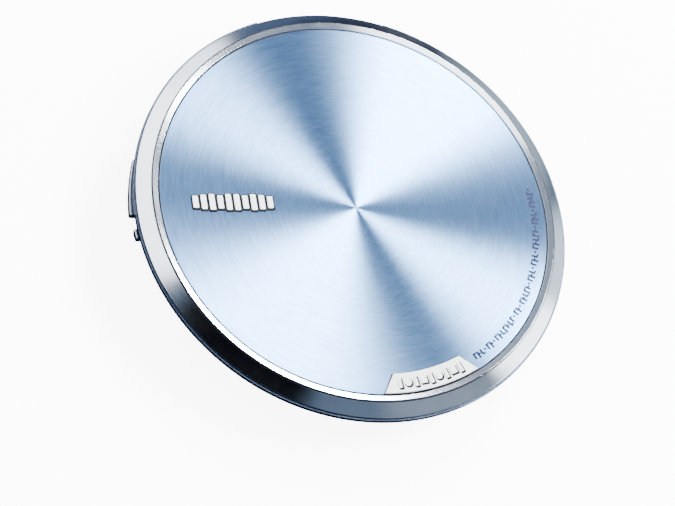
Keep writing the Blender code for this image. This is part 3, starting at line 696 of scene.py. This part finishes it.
def badge_mark(name, kind, angle, heights, material, grow=0.0):
    """A plain shape on the badge. A grown one is its painted shadow, shifted to the lower right."""
    x, y = polar(BADGE_MARK_R, angle)
    turn = Matrix.Rotation(math.radians(angle + 90.0), 2)
    across, tall = {"dot": (1.15, 1.15), "square": (1.05, 1.05), "bar": (0.5, 1.55)}[kind]
    across += grow
    tall += grow
    if kind == "dot":
        outline = [Vector(p) for p in arc(across, 0.0, 350.0, 35)]
    else:
        outline = [Vector(p) for p in ((-across, -tall), (across, -tall), (across, tall), (-across, tall))]
    placed = []
    for point in outline:
        spot = turn @ point
        placed.append((spot.x + x + grow, spot.y + y - grow))
    return prism(name, (placed,), *heights, material)


def rounded_bar(centre, width, height, corner, count=6):
    """The outline of an upright bar with round corners."""
    x, y = centre
    half_w = width / 2.0 - corner
    half_h = height / 2.0 - corner
    points = []
    for start, cx, cy in (
        (0.0, x + half_w, y + half_h), (90.0, x - half_w, y + half_h),
        (180.0, x - half_w, y - half_h), (270.0, x + half_w, y - half_h),
    ):
        points += arc(corner, start, start + 90.0, count, (cx, cy))
    return points


EMBLEM_CENTRE = (-39.3, 1.6)
EMBLEM_BARS = (4.0, 4.8, 5.3, 4.4, 5.3, 5.3, 4.4, 5.3, 4.8, 4.0)
EMBLEM_PITCH = 2.62


def make_emblem():
    """A row of raised white bars of different heights, like a sound level, each on a black outline set a little
    low and to the right as painted shadow.
    """
    tops = []
    shadow_outlines = []
    count = len(EMBLEM_BARS)
    for k, tall in enumerate(EMBLEM_BARS):
        x = EMBLEM_CENTRE[0] + (k - (count - 1) / 2.0) * EMBLEM_PITCH
        y = EMBLEM_CENTRE[1]
        tops.append(rounded_bar((x, y), 1.74, tall, 0.3))
        # Each bar's black outline, grown and set a little low and to the right, is painted shadow.
        shadow_outlines.append(rounded_bar((x + 0.05, y - 0.1), 2.58, tall + 0.95, 0.5))
    base = prism("emblem_painted_shadow", shadow_outlines, DISC_TOP + 0.01, DISC_TOP + 0.2, PAINTED_SHADE)
    top = prism("emblem_bars", tops, DISC_TOP + 0.15, DISC_TOP + 0.42, WHITE_INK, 0.08)
    belongs(base, "lid", "black_plastic")
    belongs(top, "lid", "white_plastic")


PRINT_GROUPS = (3, 2, 7, 2, 5, 3, 3, 5, 3, 4)


def make_print():
    """A printed scale along the disc's right edge: groups of ticks with a dot between them."""
    outlines = []
    angle = -59.0
    pitch = 1.42
    for group in PRINT_GROUPS:
        for k in range(group):
            outlines.append(tick(angle, 57.2, 59.6 if k % 2 else 59.2, 0.34))
            outlines.append(tick(angle + 0.62, 57.2 + 0.8 * (k % 3), 57.8 + 0.8 * (k % 3), 0.34))
            angle += pitch
        outlines.append(arc(0.4, 0.0, 330.0, 11, polar(58.2, angle + 0.15)))
        angle += pitch
    ink = prism("scale_print", outlines, DISC_TOP + 0.004, DISC_TOP + 0.02, DARK_INK)
    belongs(ink, "lid", "black_plastic")


def tick(angle, inner, outer, half_width):
    side = math.degrees(half_width / inner)
    return [
        polar(inner, angle - side),
        polar(outer, angle - side),
        polar(outer, angle + side),
        polar(inner, angle + side),
    ]


def make_liner():
    """The lid's inner moulding: a dish with a rim, a raised hub ring and shallow rings between them."""
    low, high = (node_box("lid_liner")[i].z for i in range(2))
    top = high - 0.02
    profile = [
        (0.0, top), (60.4, top, 0.05), (60.4, low, 0.2), (58.6, low, 0.1),
        (58.3, low + 0.22, 0.1), (40.6, low + 0.22, 0.1), (40.3, low + 0.02, 0.1),
        (39.3, low + 0.02, 0.1), (39.0, low + 0.22, 0.1), (18.3, low + 0.22, 0.1),
        (18.0, low, 0.1), (16.4, low, 0.1), (16.1, low + 0.3, 0.1), (0.0, low + 0.3),
    ]
    liner = lathe("liner", profile, TRAY, 192)
    ribs = []
    for k in range(12):
        for start, end in ((19.0, 38.6), (41.0, 57.9)):
            rib = box("rib", (start, -0.4, low + 0.04), (end, 0.4, low + 0.3), TRAY)
            ribs.append(turned(rib, 30.0 * k + 15.0))
    belongs(liner, "lid", "tray_plastic", "lid_liner")
    belongs(merged("liner_ribs", ribs), "lid", "tray_plastic")


# ---------------- case


def make_band():
    profile = (
        (BAND_R - 0.01, BAND_TOP - 0.02, 0.1), (BAND_R - 0.01, BAND_LOW + 0.02, 0.15),
        (BAND_R - 1.39, BAND_LOW + 0.02, 0.1), (BAND_R - 1.39, BAND_TOP - 0.02, 0.1),
    )
    band = lathe("band", profile, BAND)
    carve(band, [notch()])
    belongs(band, "case", "band_metal", "side_band")


SHELL_PROFILE = (
    (0.0, 2.4), (0.0, 1.1), (57.6, 1.1, 0.1), (57.8, 1.32),
    (58.1, 1.32), (58.3, 1.1, 0.1), (60.1, 1.12, 0.8), (61.6, 1.5, 0.8),
    (62.35, 2.2, 1.6), (68.86, 12.48, 0.35), (67.48, 12.52, 0.1), (67.48, 13.98, 0.15),
    (66.8, 13.98, 0.15), (66.8, 12.5, 0.3), (66.6, 11.6, 0.8), (61.4, 3.4, 0.8),
    (59.4, 2.4, 0.5),
)
GAP = 0.35
DOOR_HALF = 36.0
DOOR_FRONT = 13.5
DOOR_TOP = 6.0
NOTCH_LOW = (-21.0, 62.2, 8.6)
NOTCH_HIGH = (21.0, 75.0, 16.0)
SLIDER_ANGLES = (164.0, 180.0)
PLAY_ANGLES = (183.6, 186.6)
STOP_ANGLES = (-27.5, -24.5)
VOLUME_ANGLES = (-18.0, -6.0)
HOLD_ANGLES = (1.0, 6.0)
KEY_INNER = 63.2
SLIDE_ROOM = 2.0
PHONE = {"angle": 17.0, "height": 7.2, "hole": 3.0, "nose": 2.6, "bore": 1.75, "body": (11.0, 7.0, 5.8)}
POWER = {"angle": 28.5, "height": 7.0, "hole": 3.2, "nose": 2.8, "bore": 2.2, "body": (9.5, 8.0, 6.2)}
SOCKET_BACK = 60.8
SOCKET_FACE = 65.0
SCREWS = tuple(polar(56.4, angle) for angle in (-35.0, -145.0, 8.0, 172.0))
FEET = ((44.0, 27.0), (-44.0, 27.0), (34.0, -38.0), (-34.0, -38.0))


def open_lathe(name, profile, material):
    """A turned piece whose profile starts and ends on the axis."""
    return lathe(name, profile[1:] + profile[:1], material)


def notch():
    return box("notch", NOTCH_LOW, NOTCH_HIGH)


def key_window(angles, room=0.0):
    section = block_section(60.0, 72.0, KEY_LOW - GAP, KEY_TOP + 0.3)
    return arc_block("window", section, (angles[0] - GAP, angles[1] + GAP + room))


def make_shell():
    shell = open_lathe("case_shell", SHELL_PROFILE, SHELL)
    low = (-DOOR_HALF - GAP, DOOR_FRONT - GAP, 0.0)
    door = box("door_cut", low, (DOOR_HALF + GAP, 80.0, DOOR_TOP + GAP))
    cutters = [door, notch()]
    cutters += [key_window(SLIDER_ANGLES, SLIDE_ROOM), key_window(HOLD_ANGLES, SLIDE_ROOM)]
    cutters += [key_window(angles) for angles in (PLAY_ANGLES, STOP_ANGLES, VOLUME_ANGLES)]
    for socket in (PHONE, POWER):
        inner = (*polar(58.0, socket["angle"]), socket["height"])
        outer = (*polar(72.0, socket["angle"]), socket["height"])
        cutters.append(rod("socket_hole", socket["hole"], inner, outer, steps=64))
    for x, y in SCREWS:
        cutters.append(rod("screw_hole", 2.3, (x, y, 0.0), (x, y, 3.0), steps=48))
    # A shallow blank panel on the underside, between the front feet
    panel = rounded_bar((0.0, -30.0), 44.0, 24.0, 2.0)
    cutters.append(prism("panel", (panel,), 0.5, 1.35))
    carve(shell, cutters)
    belongs(shell, "case", "shell_plastic", "lower_shell")


def make_door():
    door = open_lathe("cell_door", SHELL_PROFILE, SHELL)
    carve(door, [box("prism", (-DOOR_HALF, DOOR_FRONT, 0.0), (DOOR_HALF, 80.0, DOOR_TOP))], "INTERSECT")
    belongs(door, "battery_door", "shell_plastic", "battery_door")
    ribs = []
    for k in range(9):
        y = 40.0 + 1.5 * k
        half = 9.0 - 0.35 * abs(k - 4)
        ribs.append(box("grip", (-half, y - 0.35, 0.78), (half, y + 0.35, 1.2), SHELL, 0.18))
    arrow = prism("arrow", (((-3.2, 33.2), (3.2, 33.2), (0.0, 37.4)),), 0.85, 1.2, SHELL, 0.1)
    belongs(merged("cell_door_grip", ribs + [arrow]), "battery_door", "shell_plastic")


def make_tray():
    """The disc well: its floor and wall, stiffening rings, and the flat rim that the lid closes over."""
    floor = 11.5
    profile = (
        (66.48, 13.98, 0.25), (66.48, 13.02, 0.2), (61.8, 13.02, 0.3), (61.8, 10.52, 0.2),
        (15.32, 10.52, 0.1), (15.32, floor + 0.22, 0.12), (16.5, floor + 0.22, 0.12),
        (16.8, floor - 0.02, 0.1), (24.6, floor - 0.02, 0.1), (24.9, floor + 0.16, 0.1),
        (25.9, floor + 0.16, 0.1), (26.2, floor - 0.02, 0.1), (56.6, floor - 0.02, 0.1),
        (56.9, floor + 0.16, 0.1), (57.9, floor + 0.16, 0.1), (58.2, floor - 0.02, 0.1),
        (61.02, floor - 0.02, 0.5), (61.02, 13.7, 0.2), (61.32, 13.98, 0.2), (65.2, 13.98),
        (65.35, 13.86), (65.65, 13.86), (65.8, 13.98),
    )
    tray = lathe("disc_well", profile, TRAY)
    window = rounded_bar((0.0, -30.8), 18.0, 61.6, 1.6)
    x, y = polar(63.4, -40.0)
    cutters = [
        prism("pickup_window", (window,), 5.0, 13.2),
        notch(),
        rod("switch_hole", 1.3, (x, y, 12.0), (x, y, 16.0), steps=40),
        arc_block("latch_slot", block_section(62.2, 65.5, 12.0, 15.0), (167.8, 175.2)),
    ]
    carve(tray, cutters)
    belongs(tray, "case", "tray_plastic", "disc_tray")
    heads = []
    for angle in (35.0, 155.0, 215.0, 325.0):
        heads.append(cross_head("tray_screw", polar(45.0, angle), floor - 0.1, floor + 0.3, 1.7))
    belongs(merged("tray_screws", heads), "case", "steel")
    stripes = []
    for side in (-1.0, 1.0):
        low, high = sorted((side * 10.0, side * 10.9))
        stripes.append(box("window_lip", (low, -57.0, floor - 0.1), (high, -17.5, floor + 0.3), TRAY, 0.12))
    belongs(merged("window_lips", stripes), "case", "tray_plastic")


def cross_head(name, centre, low, high, radius, shank=None):
    """A pan head with a cross recess in its top, or in its underside when the shank goes up."""
    down = shank is not None
    face, back = (low, high) if down else (high, low)
    outline = [(0.0, face), (radius, face, 0.25), (radius, back, 0.05)]
    if down:
        outline += [(0.9, back, 0.05), (0.9, shank, 0.1), (0.0, shank)]
    else:
        outline.append((0.0, back))
    head = lathe(name, outline, STEEL, 40, centre)
    reach = radius * 0.62
    depth = 0.45 if down else -0.28
    z_low, z_high = sorted((face - depth, face + depth))
    arms = [slab("arm", centre, half, z_low, z_high) for half in ((reach, 0.22), (0.22, reach))]
    return carve(head, arms)


KNUCKLE_R = 2.08
PIN_BORE_R = 1.0
PIN_R = 0.69


def hinge_leaf(plate, web, span, rounding):
    """A plate and a web joined to a bored knuckle on the hinge's axis."""
    y, z = HINGE.y, HINGE.z
    start, end = span
    knuckle = rod("knuckle", KNUCKLE_R, (start, y, z), (end, y, z), steps=56)
    carve(plate, [web, knuckle], "UNION")
    carve(plate, [rod("bore", PIN_BORE_R, (start - 1.5, y, z), (end + 1.5, y, z))])
    return soften(plate, rounding)


def make_hinge():
    y, z = HINGE.y, HINGE.z
    for name, side in (("left", -1.0), ("right", 1.0)):
        inner, outer = sorted((side * 5.0, side * 12.0))
        arm = box("arm", (inner, 61.0, 14.37), (outer, 65.6, 15.33), BLACK)
        web = box("web", (inner, 64.0, z), (outer, 65.6, 15.0))
        hinge_leaf(arm, web, (inner, outer), 0.18)
        belongs(arm, "lid", "black_plastic", f"lid_hinge_arm_{name}")
    bracket = box("bracket", (-20.38, 62.52, 9.02), (20.38, 63.18, 13.68), BLACK)
    web = box("web", (-4.5, 62.8, 9.8), (4.5, 65.8, z))
    hinge_leaf(bracket, web, (-4.5, 4.5), 0.15)
    belongs(bracket, "case", "black_plastic", "hinge_bracket")
    pin = rod("pin", PIN_R, (-17.48, y, z), (17.48, y, z), STEEL)
    soften(pin, 0.12)
    belongs(pin, "case", "steel", "hinge_pin")
    spring = coil("torsion_spring", 0.25, 1.5, 4.2, 5, (12.6, y, z))
    belongs(spring, "case", "steel", "hinge_spring")


def coil(name, wire, radius, span, turns, place):
    """A round-wire coil along X."""
    curve = bpy.data.curves.new(name, "CURVE")
    curve.dimensions = "3D"
    curve.bevel_depth = wire * MM
    curve.bevel_resolution = 5
    curve.use_fill_caps = True
    spline = curve.splines.new("POLY")
    count = turns * 36
    spline.points.add(count)
    for i, point in enumerate(spline.points):
        share = i / count
        angle = 2.0 * math.pi * turns * share
        spot = Vector((span * share, radius * math.cos(angle), radius * math.sin(angle))) + Vector(place)
        point.co = (*(spot * MM), 1.0)
    guide = bpy.data.objects.new(name, curve)
    bpy.context.scene.collection.objects.link(guide)
    depsgraph = bpy.context.evaluated_depsgraph_get()
    mesh = bpy.data.meshes.new_from_object(guide.evaluated_get(depsgraph))
    bpy.data.objects.remove(guide, do_unlink=True)
    mesh.materials.clear()
    mesh.shade_smooth()
    return add(name, mesh, STEEL)


def make_feet():
    for k, centre in enumerate(FEET):
        profile = (
            (0.0, 0.8), (3.58, 0.8, 0.05), (3.58, 0.3, 0.3), (3.2, 0.0, 0.15),
            (2.5, 0.0, 0.05), (2.4, 0.12), (2.1, 0.12), (2.0, 0.0, 0.05),
            (0.0, 0.0),
        )
        foot = lathe(f"pad_{k + 1}", profile, RUBBER, 64, centre)
        belongs(foot, "case", "rubber", f"foot_{k + 1}")


def make_screws():
    for k, centre in enumerate(SCREWS):
        screw = cross_head(f"base_screw_{k + 1}", centre, 1.3, 2.3, 1.93, 9.0)
        belongs(screw, "case", "steel", f"case_screw_{k + 1}")


# ---------------- keys and sockets


def key(name, angles, outer, material, swell=0.0, rounding=0.4, step=0.5):
    section = block_section(KEY_INNER, outer, KEY_LOW + 0.02, KEY_TOP - 0.02)
    return arc_block(name, section, angles, material, step, swell, rounding)


def raised_bar(name, radius, angle, height, tall, width, material, proud=0.16):
    """A small bar that stands out of a key's face."""
    side = math.degrees(width / 2.0 / radius)
    section = block_section(radius - 0.4, radius + proud, height - tall / 2.0, height + tall / 2.0)
    return arc_block(name, section, (angle - side, angle + side), material, 0.2, 0.0, 0.06)


def make_keys():
    middle = (KEY_LOW + KEY_TOP) / 2.0
    slider = key("long_key", SLIDER_ANGLES, 69.28, KEYS, 0.9, 0.45)
    belongs(slider, "open_slider", "key_metal", "open_slider")
    cap = arc_block(
        "long_key_end",
        block_section(64.4, 69.7, KEY_LOW + 0.45, KEY_TOP - 0.45),
        (179.9, 180.12),
        BLACK,
        0.1,
    )
    belongs(cap, "open_slider", "black_plastic")
    for name, angles, body in (
        ("round_key", PLAY_ANGLES, "play_button"),
        ("stop_key", STOP_ANGLES, "stop_button"),
    ):
        made = key(name, angles, 69.58, KEYS, 0.0, 0.55)
        belongs(made, body, "key_metal", body)
        angle = sum(angles) / 2.0
        if body == "play_button":
            x, y = polar(69.5, angle)
            mark = rod("play_dot", 0.42, (x, y, middle), (*polar(69.76, angle), middle), DARK_INK)
        else:
            mark = raised_bar("stop_square", 69.55, angle, middle, 0.75, 0.75, DARK_INK)
        belongs(mark, body, "black_plastic")
    rocker = key("volume_key", VOLUME_ANGLES, 69.58, KEYS, 0.0, 0.5)
    dip = block_section(69.25, 71.0, KEY_LOW - 1.0, KEY_TOP + 1.0)
    carve(rocker, [arc_block("dip", dip, (-13.4, -10.6), step=0.2)])
    soften(rocker, 0.12, 2)
    belongs(rocker, "volume_rocker", "key_metal", "volume_rocker")
    signs = [
        raised_bar("minus", 69.55, -16.3, middle, 0.28, 1.3, DARK_INK),
        raised_bar("plus_across", 69.55, -7.7, middle, 0.28, 1.3, DARK_INK),
        raised_bar("plus_up", 69.55, -7.7, middle, 1.3, 0.28, DARK_INK),
    ]
    belongs(merged("volume_signs", signs), "volume_rocker", "black_plastic")
    hold = key("hold_key", HOLD_ANGLES, 68.95, BLACK, 0.0, 0.3)
    belongs(hold, "hold_switch", "black_plastic", "hold_switch")
    ribs = []
    for k in range(5):
        ribs.append(raised_bar("rib", 68.9, 2.1 + 0.7 * k, middle, 1.7, 0.35, BLACK, 0.4))
    belongs(merged("hold_ribs", ribs), "hold_switch", "black_plastic")


def socket_rod(name, radius, start, end, socket, material=None, steps=64):
    """A rod along X at a socket's height."""
    z = socket["height"]
    return rod(name, radius, (start, 0.0, z), (end, 0.0, z), material, steps)


def make_socket(name, node, socket):
    """A socket built along X and turned to its place: a moulded body and a round nose with a bore."""
    length, width, tall = socket["body"]
    low, high = (socket["height"] + side * tall / 2.0 for side in (-1.0, 1.0))
    body = box(name, (SOCKET_BACK - length, -width / 2.0, low), (SOCKET_BACK, width / 2.0, high), BLACK)
    nose = socket_rod("nose", socket["nose"] - 0.02, SOCKET_BACK - 1.0, SOCKET_FACE - 0.02, socket)
    carve(body, [nose], "UNION")
    carve(body, [socket_rod("bore", socket["bore"] + 0.02, SOCKET_BACK - length + 1.5, 70.0, socket)])
    soften(body, 0.15)
    belongs(turned(body, socket["angle"]), "case", "black_plastic", node)


def make_sockets():
    make_socket("phone_socket", "headphone_jack", PHONE)
    collar = socket_rod("phone_collar", 2.35, 64.9, 65.25, PHONE, STEEL)
    carve(collar, [socket_rod("hole", 1.8, 63.9, 66.25, PHONE)])
    soften(collar, 0.08, 2)
    belongs(turned(collar, PHONE["angle"]), "case", "steel")
    make_socket("power_socket", "power_jack", POWER)
    pin = socket_rod("power_pin", 0.48, 52.2, 64.2, POWER, BRASS, 32)
    soften(pin, 0.15)
    belongs(turned(pin, POWER["angle"]), "case", "brass")


# ---------------- drive and pickup


def make_turntable():
    plate_top = 12.3
    profile = (
        (6.3, 15.18, 0.3), (7.0, 14.75, 0.4), (7.28, 14.2, 0.3), (7.28, plate_top, 0.15),
        (8.9, plate_top), (9.0, plate_top - 0.15), (9.3, plate_top - 0.15),
        (9.4, plate_top), (13.98, plate_top, 0.2), (13.98, 11.62, 0.15), (3.0, 11.62, 0.1),
        (3.0, 10.42, 0.1), (1.1, 10.42, 0.05), (1.1, 15.18, 0.15),
    )
    platter = lathe("platter", profile, TRAY, 128)
    slots = []
    for k in range(6):
        slot = box("slot", (4.2, -0.35, 14.0), (8.0, 0.35, 16.0))
        slots.append(turned(slot, 60.0 * k + 30.0))
    carve(platter, slots)
    belongs(platter, "turntable", "tray_plastic", "turntable")
    balls = []
    for k in range(3):
        bm = bmesh.new()
        x, y = polar(6.75, 120.0 * k + 90.0)
        place = Matrix.Translation((x * MM, y * MM, 13.7 * MM))
        bmesh.ops.create_uvsphere(bm, u_segments=24, v_segments=16, radius=0.95 * MM, matrix=place)
        balls.append(add("ball", finish_mesh(bm, "ball"), STEEL))
    belongs(merged("hub_balls", balls), "turntable", "steel")
    pad_profile = (
        (13.68, 13.18, 0.15), (13.68, 12.6, 0.05), (9.62, 12.6, 0.05), (9.62, 13.18, 0.15),
        (11.2, 13.18), (11.3, 13.05), (12.0, 13.05), (12.1, 13.18),
    )
    belongs(lathe("grip_ring", pad_profile, RUBBER, 128), "turntable", "rubber", "turntable_pad")
    shaft_profile = ((0.0, 14.98), (0.74, 14.98, 0.15), (0.74, 5.0, 0.05), (0.0, 5.0))
    shaft = lathe("drive_shaft", shaft_profile, STEEL, 40)
    belongs(shaft, "turntable", "steel", "spindle_shaft")


def make_pickup():
    y = LENS.y
    sled = box("carriage", (-16.38, y + 0.82, 4.62), (16.38, y + 10.48, 8.48), BLACK)
    carve(sled, [box("tower", (-7.38, y - 4.18, 4.62), (7.38, y + 8.98, 10.18))], "UNION")
    bores = [
        rod("bore", 1.3, (side * 14.0, y - 9.0, 6.4), (side * 14.0, y + 20.0, 6.4)) for side in (-1.0, 1.0)
    ]
    bores.append(box("mouth", (12.8, y - 9.0, 3.0), (15.2, y + 20.0, 6.4)))
    carve(sled, bores)
    soften(sled, 0.25)
    belongs(sled, "sled", "steel", "pickup_sled")
    yokes = []
    for side in (-1.0, 1.0):
        low, high = sorted((side * 4.7, side * 6.4))
        yokes.append(box("yoke", (low, y - 2.6, 10.1), (high, y + 2.6, 11.1), STEEL, 0.12))
    for x, side_y in ((-5.6, 6.6), (5.6, 6.6), (-5.6, -3.2), (5.6, -3.2)):
        yokes.append(cross_head("yoke_screw", (x, y + side_y), 10.1, 10.45, 0.85))
    belongs(merged("magnet_yokes", yokes), "sled", "steel")
    ribbon = box("ribbon", (-4.2, y + 4.4, 10.12), (4.2, y + 8.7, 10.32), BRASS, 0.06)
    belongs(ribbon, "sled", "brass")
    holder = prism("holder", (rounded_bar((0.0, y), 8.0, 7.2, 1.0),), 10.77, 11.38, BLACK)
    carve(holder, [rod("seat", 2.32, (0.0, y, 10.0), (0.0, y, 12.0), steps=64)])
    soften(holder, 0.12)
    belongs(holder, "lens", "black_plastic", "lens_holder")
    glass = (
        (0.0, 11.95), (0.5, 11.92, 1.0), (1.0, 11.8, 1.0), (1.45, 11.6, 1.0),
        (1.8, 11.3, 0.3), (1.98, 11.25, 0.05), (1.98, 10.82, 0.05), (0.0, 10.82),
    )
    belongs(lathe("lens_glass", glass, GLASS, 64, (0.0, y)), "lens", "lens_glass", "objective_lens")


CHIP_Y = -46.0
CHIP_HALF = 4.2
CHIP_LEGS = 10
CHIP_LEG_PITCH = 0.8
SMALL_PARTS = (
    (-6.4, -38.0), (-3.2, -37.0), (1.0, -38.4), (4.6, -36.6), (7.0, -45.0), (-7.2, -47.0),
    (-6.0, -53.0), (0.4, -52.6), (5.8, -51.4), (7.4, -39.0), (-7.6, -42.0), (6.9, -48.6),
)


def make_board_parts():
    """The chip and the small parts on the board, under the pickup window."""
    top = node_box("main_board")[1].z
    foot = top - 0.02
    size = (CHIP_HALF, CHIP_HALF)
    chip = slab("servo_chip", (0.0, CHIP_Y), size, top + 0.1, top + 0.85, BLACK, 0.12)
    belongs(chip, "case", "black_plastic")
    legs = []
    for k in range(CHIP_LEGS):
        step = CHIP_LEG_PITCH * (k - (CHIP_LEGS - 1) / 2.0)
        for out in (-4.55, 4.55):
            legs.append(slab("leg", (step, CHIP_Y + out), (0.16, 0.45), foot, top + 0.3, STEEL))
            legs.append(slab("leg", (out, CHIP_Y + step), (0.45, 0.16), foot, top + 0.3, STEEL))
    belongs(merged("chip_legs", legs), "case", "steel")
    bodies = []
    ends = []
    for k, (x, y) in enumerate(SMALL_PARTS):
        along_x = bool(k % 2)
        half = (0.8, 0.45) if along_x else (0.45, 0.8)
        bodies.append(slab("part", (x, y), half, foot, top + 0.5, TRAY, 0.05))
        for out in (-0.75, 0.75):
            centre = (x + out, y) if along_x else (x, y + out)
            half = (0.16, 0.5) if along_x else (0.5, 0.16)
            ends.append(slab("end", centre, half, foot, top + 0.54, STEEL))
    belongs(merged("small_parts", bodies), "case", "tray_plastic")
    belongs(merged("small_part_ends", ends), "case", "steel")


# ---------------- camera, floor and light

# The camera's place is from the middle of the disc's face; its turn is in degrees
CAMERA_PLACE = (-371.9, -448.1, 889.8)
CAMERA_TURN = (27.393, -18.059, -9.126)
CAMERA_LENS = 186.67


def make_camera():
    camera = bpy.data.cameras.new("camera")
    camera.lens = CAMERA_LENS
    camera.sensor_width = 36.0
    camera.clip_start = 0.01
    camera.clip_end = 50.0
    obj = bpy.data.objects.new("camera", camera)
    bpy.context.scene.collection.objects.link(obj)
    obj.location = (Vector(CAMERA_PLACE) + Vector((0.0, 0.0, DISC_TOP))) * MM
    obj.rotation_euler = [math.radians(a) for a in CAMERA_TURN]
    bpy.context.scene.camera = obj


def make_floor():
    """A lit pale sweep all round. It gives off light of its own, and the metal doesn't mirror it."""
    sweep = ((0.0, 0.0, 0.0), (6000.0, 0.0, 1500.0), (6600.0, 5000.0, 0.0))
    s = Shader("pale_floor", (0.86, 0.86, 0.86), 0.7)
    s.link(s.tint(s.noise(3.0), (0.85, 0.85, 0.86), (0.87, 0.87, 0.87)), "Base Color")
    s.shader.inputs["Emission Color"].default_value = (1.0, 1.0, 1.0, 1.0)
    s.shader.inputs["Emission Strength"].default_value = FLOOR_GLOW
    floor = lathe("floor", sweep, s.material, 96)
    floor.visible_glossy = False
    floor.visible_diffuse = False
    floor.visible_shadow = False


def direction(azimuth, elevation):
    az = math.radians(azimuth)
    el = math.radians(elevation)
    return Vector((math.cos(el) * math.cos(az), math.cos(el) * math.sin(az), math.sin(el)))


def soft_box(name, azimuth, elevation, size, radiance, distance=1.3):
    """A lamp panel that faces the player from a direction in degrees. Its size is in metres."""
    light = bpy.data.lights.new(name, "AREA")
    light.shape = "RECTANGLE"
    light.size, light.size_y = size
    light.energy = radiance * math.pi * size[0] * size[1]
    obj = bpy.data.objects.new(name, light)
    bpy.context.scene.collection.objects.link(obj)
    way = direction(azimuth, elevation)
    obj.location = way * distance
    obj.rotation_euler = way.to_track_quat("Z", "Y").to_euler()
    return obj


FLOOR_GLOW = 8.0
SOFT_BOXES = (
    # name, azimuth, elevation, width and height in metres, radiance
    ("far_box", 51.3, 30.0, (0.38, 0.56), 105.0),
    ("right_box", 5.0, 40.0, (0.50, 0.50), 70.0),
    ("top_box", 50.0, 88.0, (0.50, 0.50), 6.0),
)
# Fills that light the plastics and aren't mirrored by the metal
FILL_BOXES = (
    ("front_fill", -100.0, 30.0, (0.9, 0.6), 7.0),
    ("back_fill", 110.0, 25.0, (0.9, 0.6), 4.0),
)
# Sky by height (0 straight down, 0.5 level, 1 straight up) and colour
SKY = (
    (0.0, (0.003, 0.010, 0.042)),
    (0.44, (0.003, 0.010, 0.042)),
    (0.50, (0.08, 0.13, 0.24)),
    (0.56, (0.12, 0.17, 0.28)),
    (0.70, (0.15, 0.20, 0.29)),
    (1.0, (0.16, 0.22, 0.32)),
)
# Pale walls of the studio: azimuth, elevation, half angle, soft edge, colour
WALLS = (
    (103.0, 10.0, 7.0, 10.0, (3.4, 3.5, 3.7)),
    (126.0, 23.0, 13.0, 11.0, (4.6, 4.6, 4.7)),
    (157.0, 38.0, 12.0, 8.0, (4.6, 4.5, 4.7)),
    (-9.0, 14.0, 9.0, 10.0, (5.4, 5.5, 5.7)),
    (12.0, 2.0, 6.0, 10.0, (1.3, 1.5, 1.7)),
    (37.0, -15.0, 7.0, 10.0, (0.55, 0.68, 0.80)),
    (-46.0, 32.0, 10.0, 12.0, (0.34, 0.40, 0.50)),
    (97.0, 50.0, 10.0, 14.0, (0.40, 0.48, 0.60)),
)
# The dark side, behind the camera
DARK_SIDE = (-134.0, 50.0, 21.0, 8.0, (0.001, 0.001, 0.003))


def sky_patch(tree, way, azimuth, elevation, half, edge):
    """1 inside a round patch of sky and 0 outside it, with a soft edge."""
    towards = {0: way, 1: direction(azimuth, elevation)}
    dot = add_node(tree, "ShaderNodeVectorMath", towards, operation="DOT_PRODUCT")
    limits = {
        "Value": dot.outputs["Value"],
        "From Min": math.cos(math.radians(half + edge)),
        "From Max": math.cos(math.radians(half)),
    }
    inside = add_node(tree, "ShaderNodeMapRange", limits, interpolation_type="SMOOTHSTEP")
    return inside.outputs["Result"]


def make_world():
    """A studio seen as light from each direction: a sky by height, pale walls, and a dark side."""
    world = bpy.data.worlds.new("studio")
    world.use_nodes = True
    bpy.context.scene.world = world
    tree = world.node_tree
    way = add_node(tree, "ShaderNodeTexCoord").outputs["Generated"]
    up = add_node(tree, "ShaderNodeSeparateXYZ", {"Vector": way}).outputs["Z"]
    height = add_node(tree, "ShaderNodeMapRange", {"Value": up, "From Min": -1.0}).outputs["Result"]
    colour = (*SKY[0][1], 1.0)
    for (low, _), (high, target) in zip(SKY, SKY[1:]):
        limits = {"Value": height, "From Min": low, "From Max": high}
        share = add_node(tree, "ShaderNodeMapRange", limits).outputs["Result"]
        colour = blend(tree, share, colour, target)
    for *place, target in (*WALLS, DARK_SIDE):
        colour = blend(tree, sky_patch(tree, way, *place), colour, target)
    tree.links.new(colour, tree.nodes["Background"].inputs["Color"])


def make_lights():
    for name, azimuth, elevation, size, radiance in SOFT_BOXES:
        soft_box(name, azimuth, elevation, size, radiance)
    for name, azimuth, elevation, size, radiance in FILL_BOXES:
        fill = soft_box(name, azimuth, elevation, size, radiance)
        fill.visible_glossy = False


finish_cad_nodes()
make_camera()
make_floor()
make_lights()
make_world()
make_ring()
make_disc()
make_badge()
make_emblem()
make_print()
make_liner()
make_band()
make_shell()
make_door()
make_tray()
make_hinge()
make_feet()
make_screws()
make_keys()
make_sockets()
make_turntable()
make_pickup()
make_board_parts()
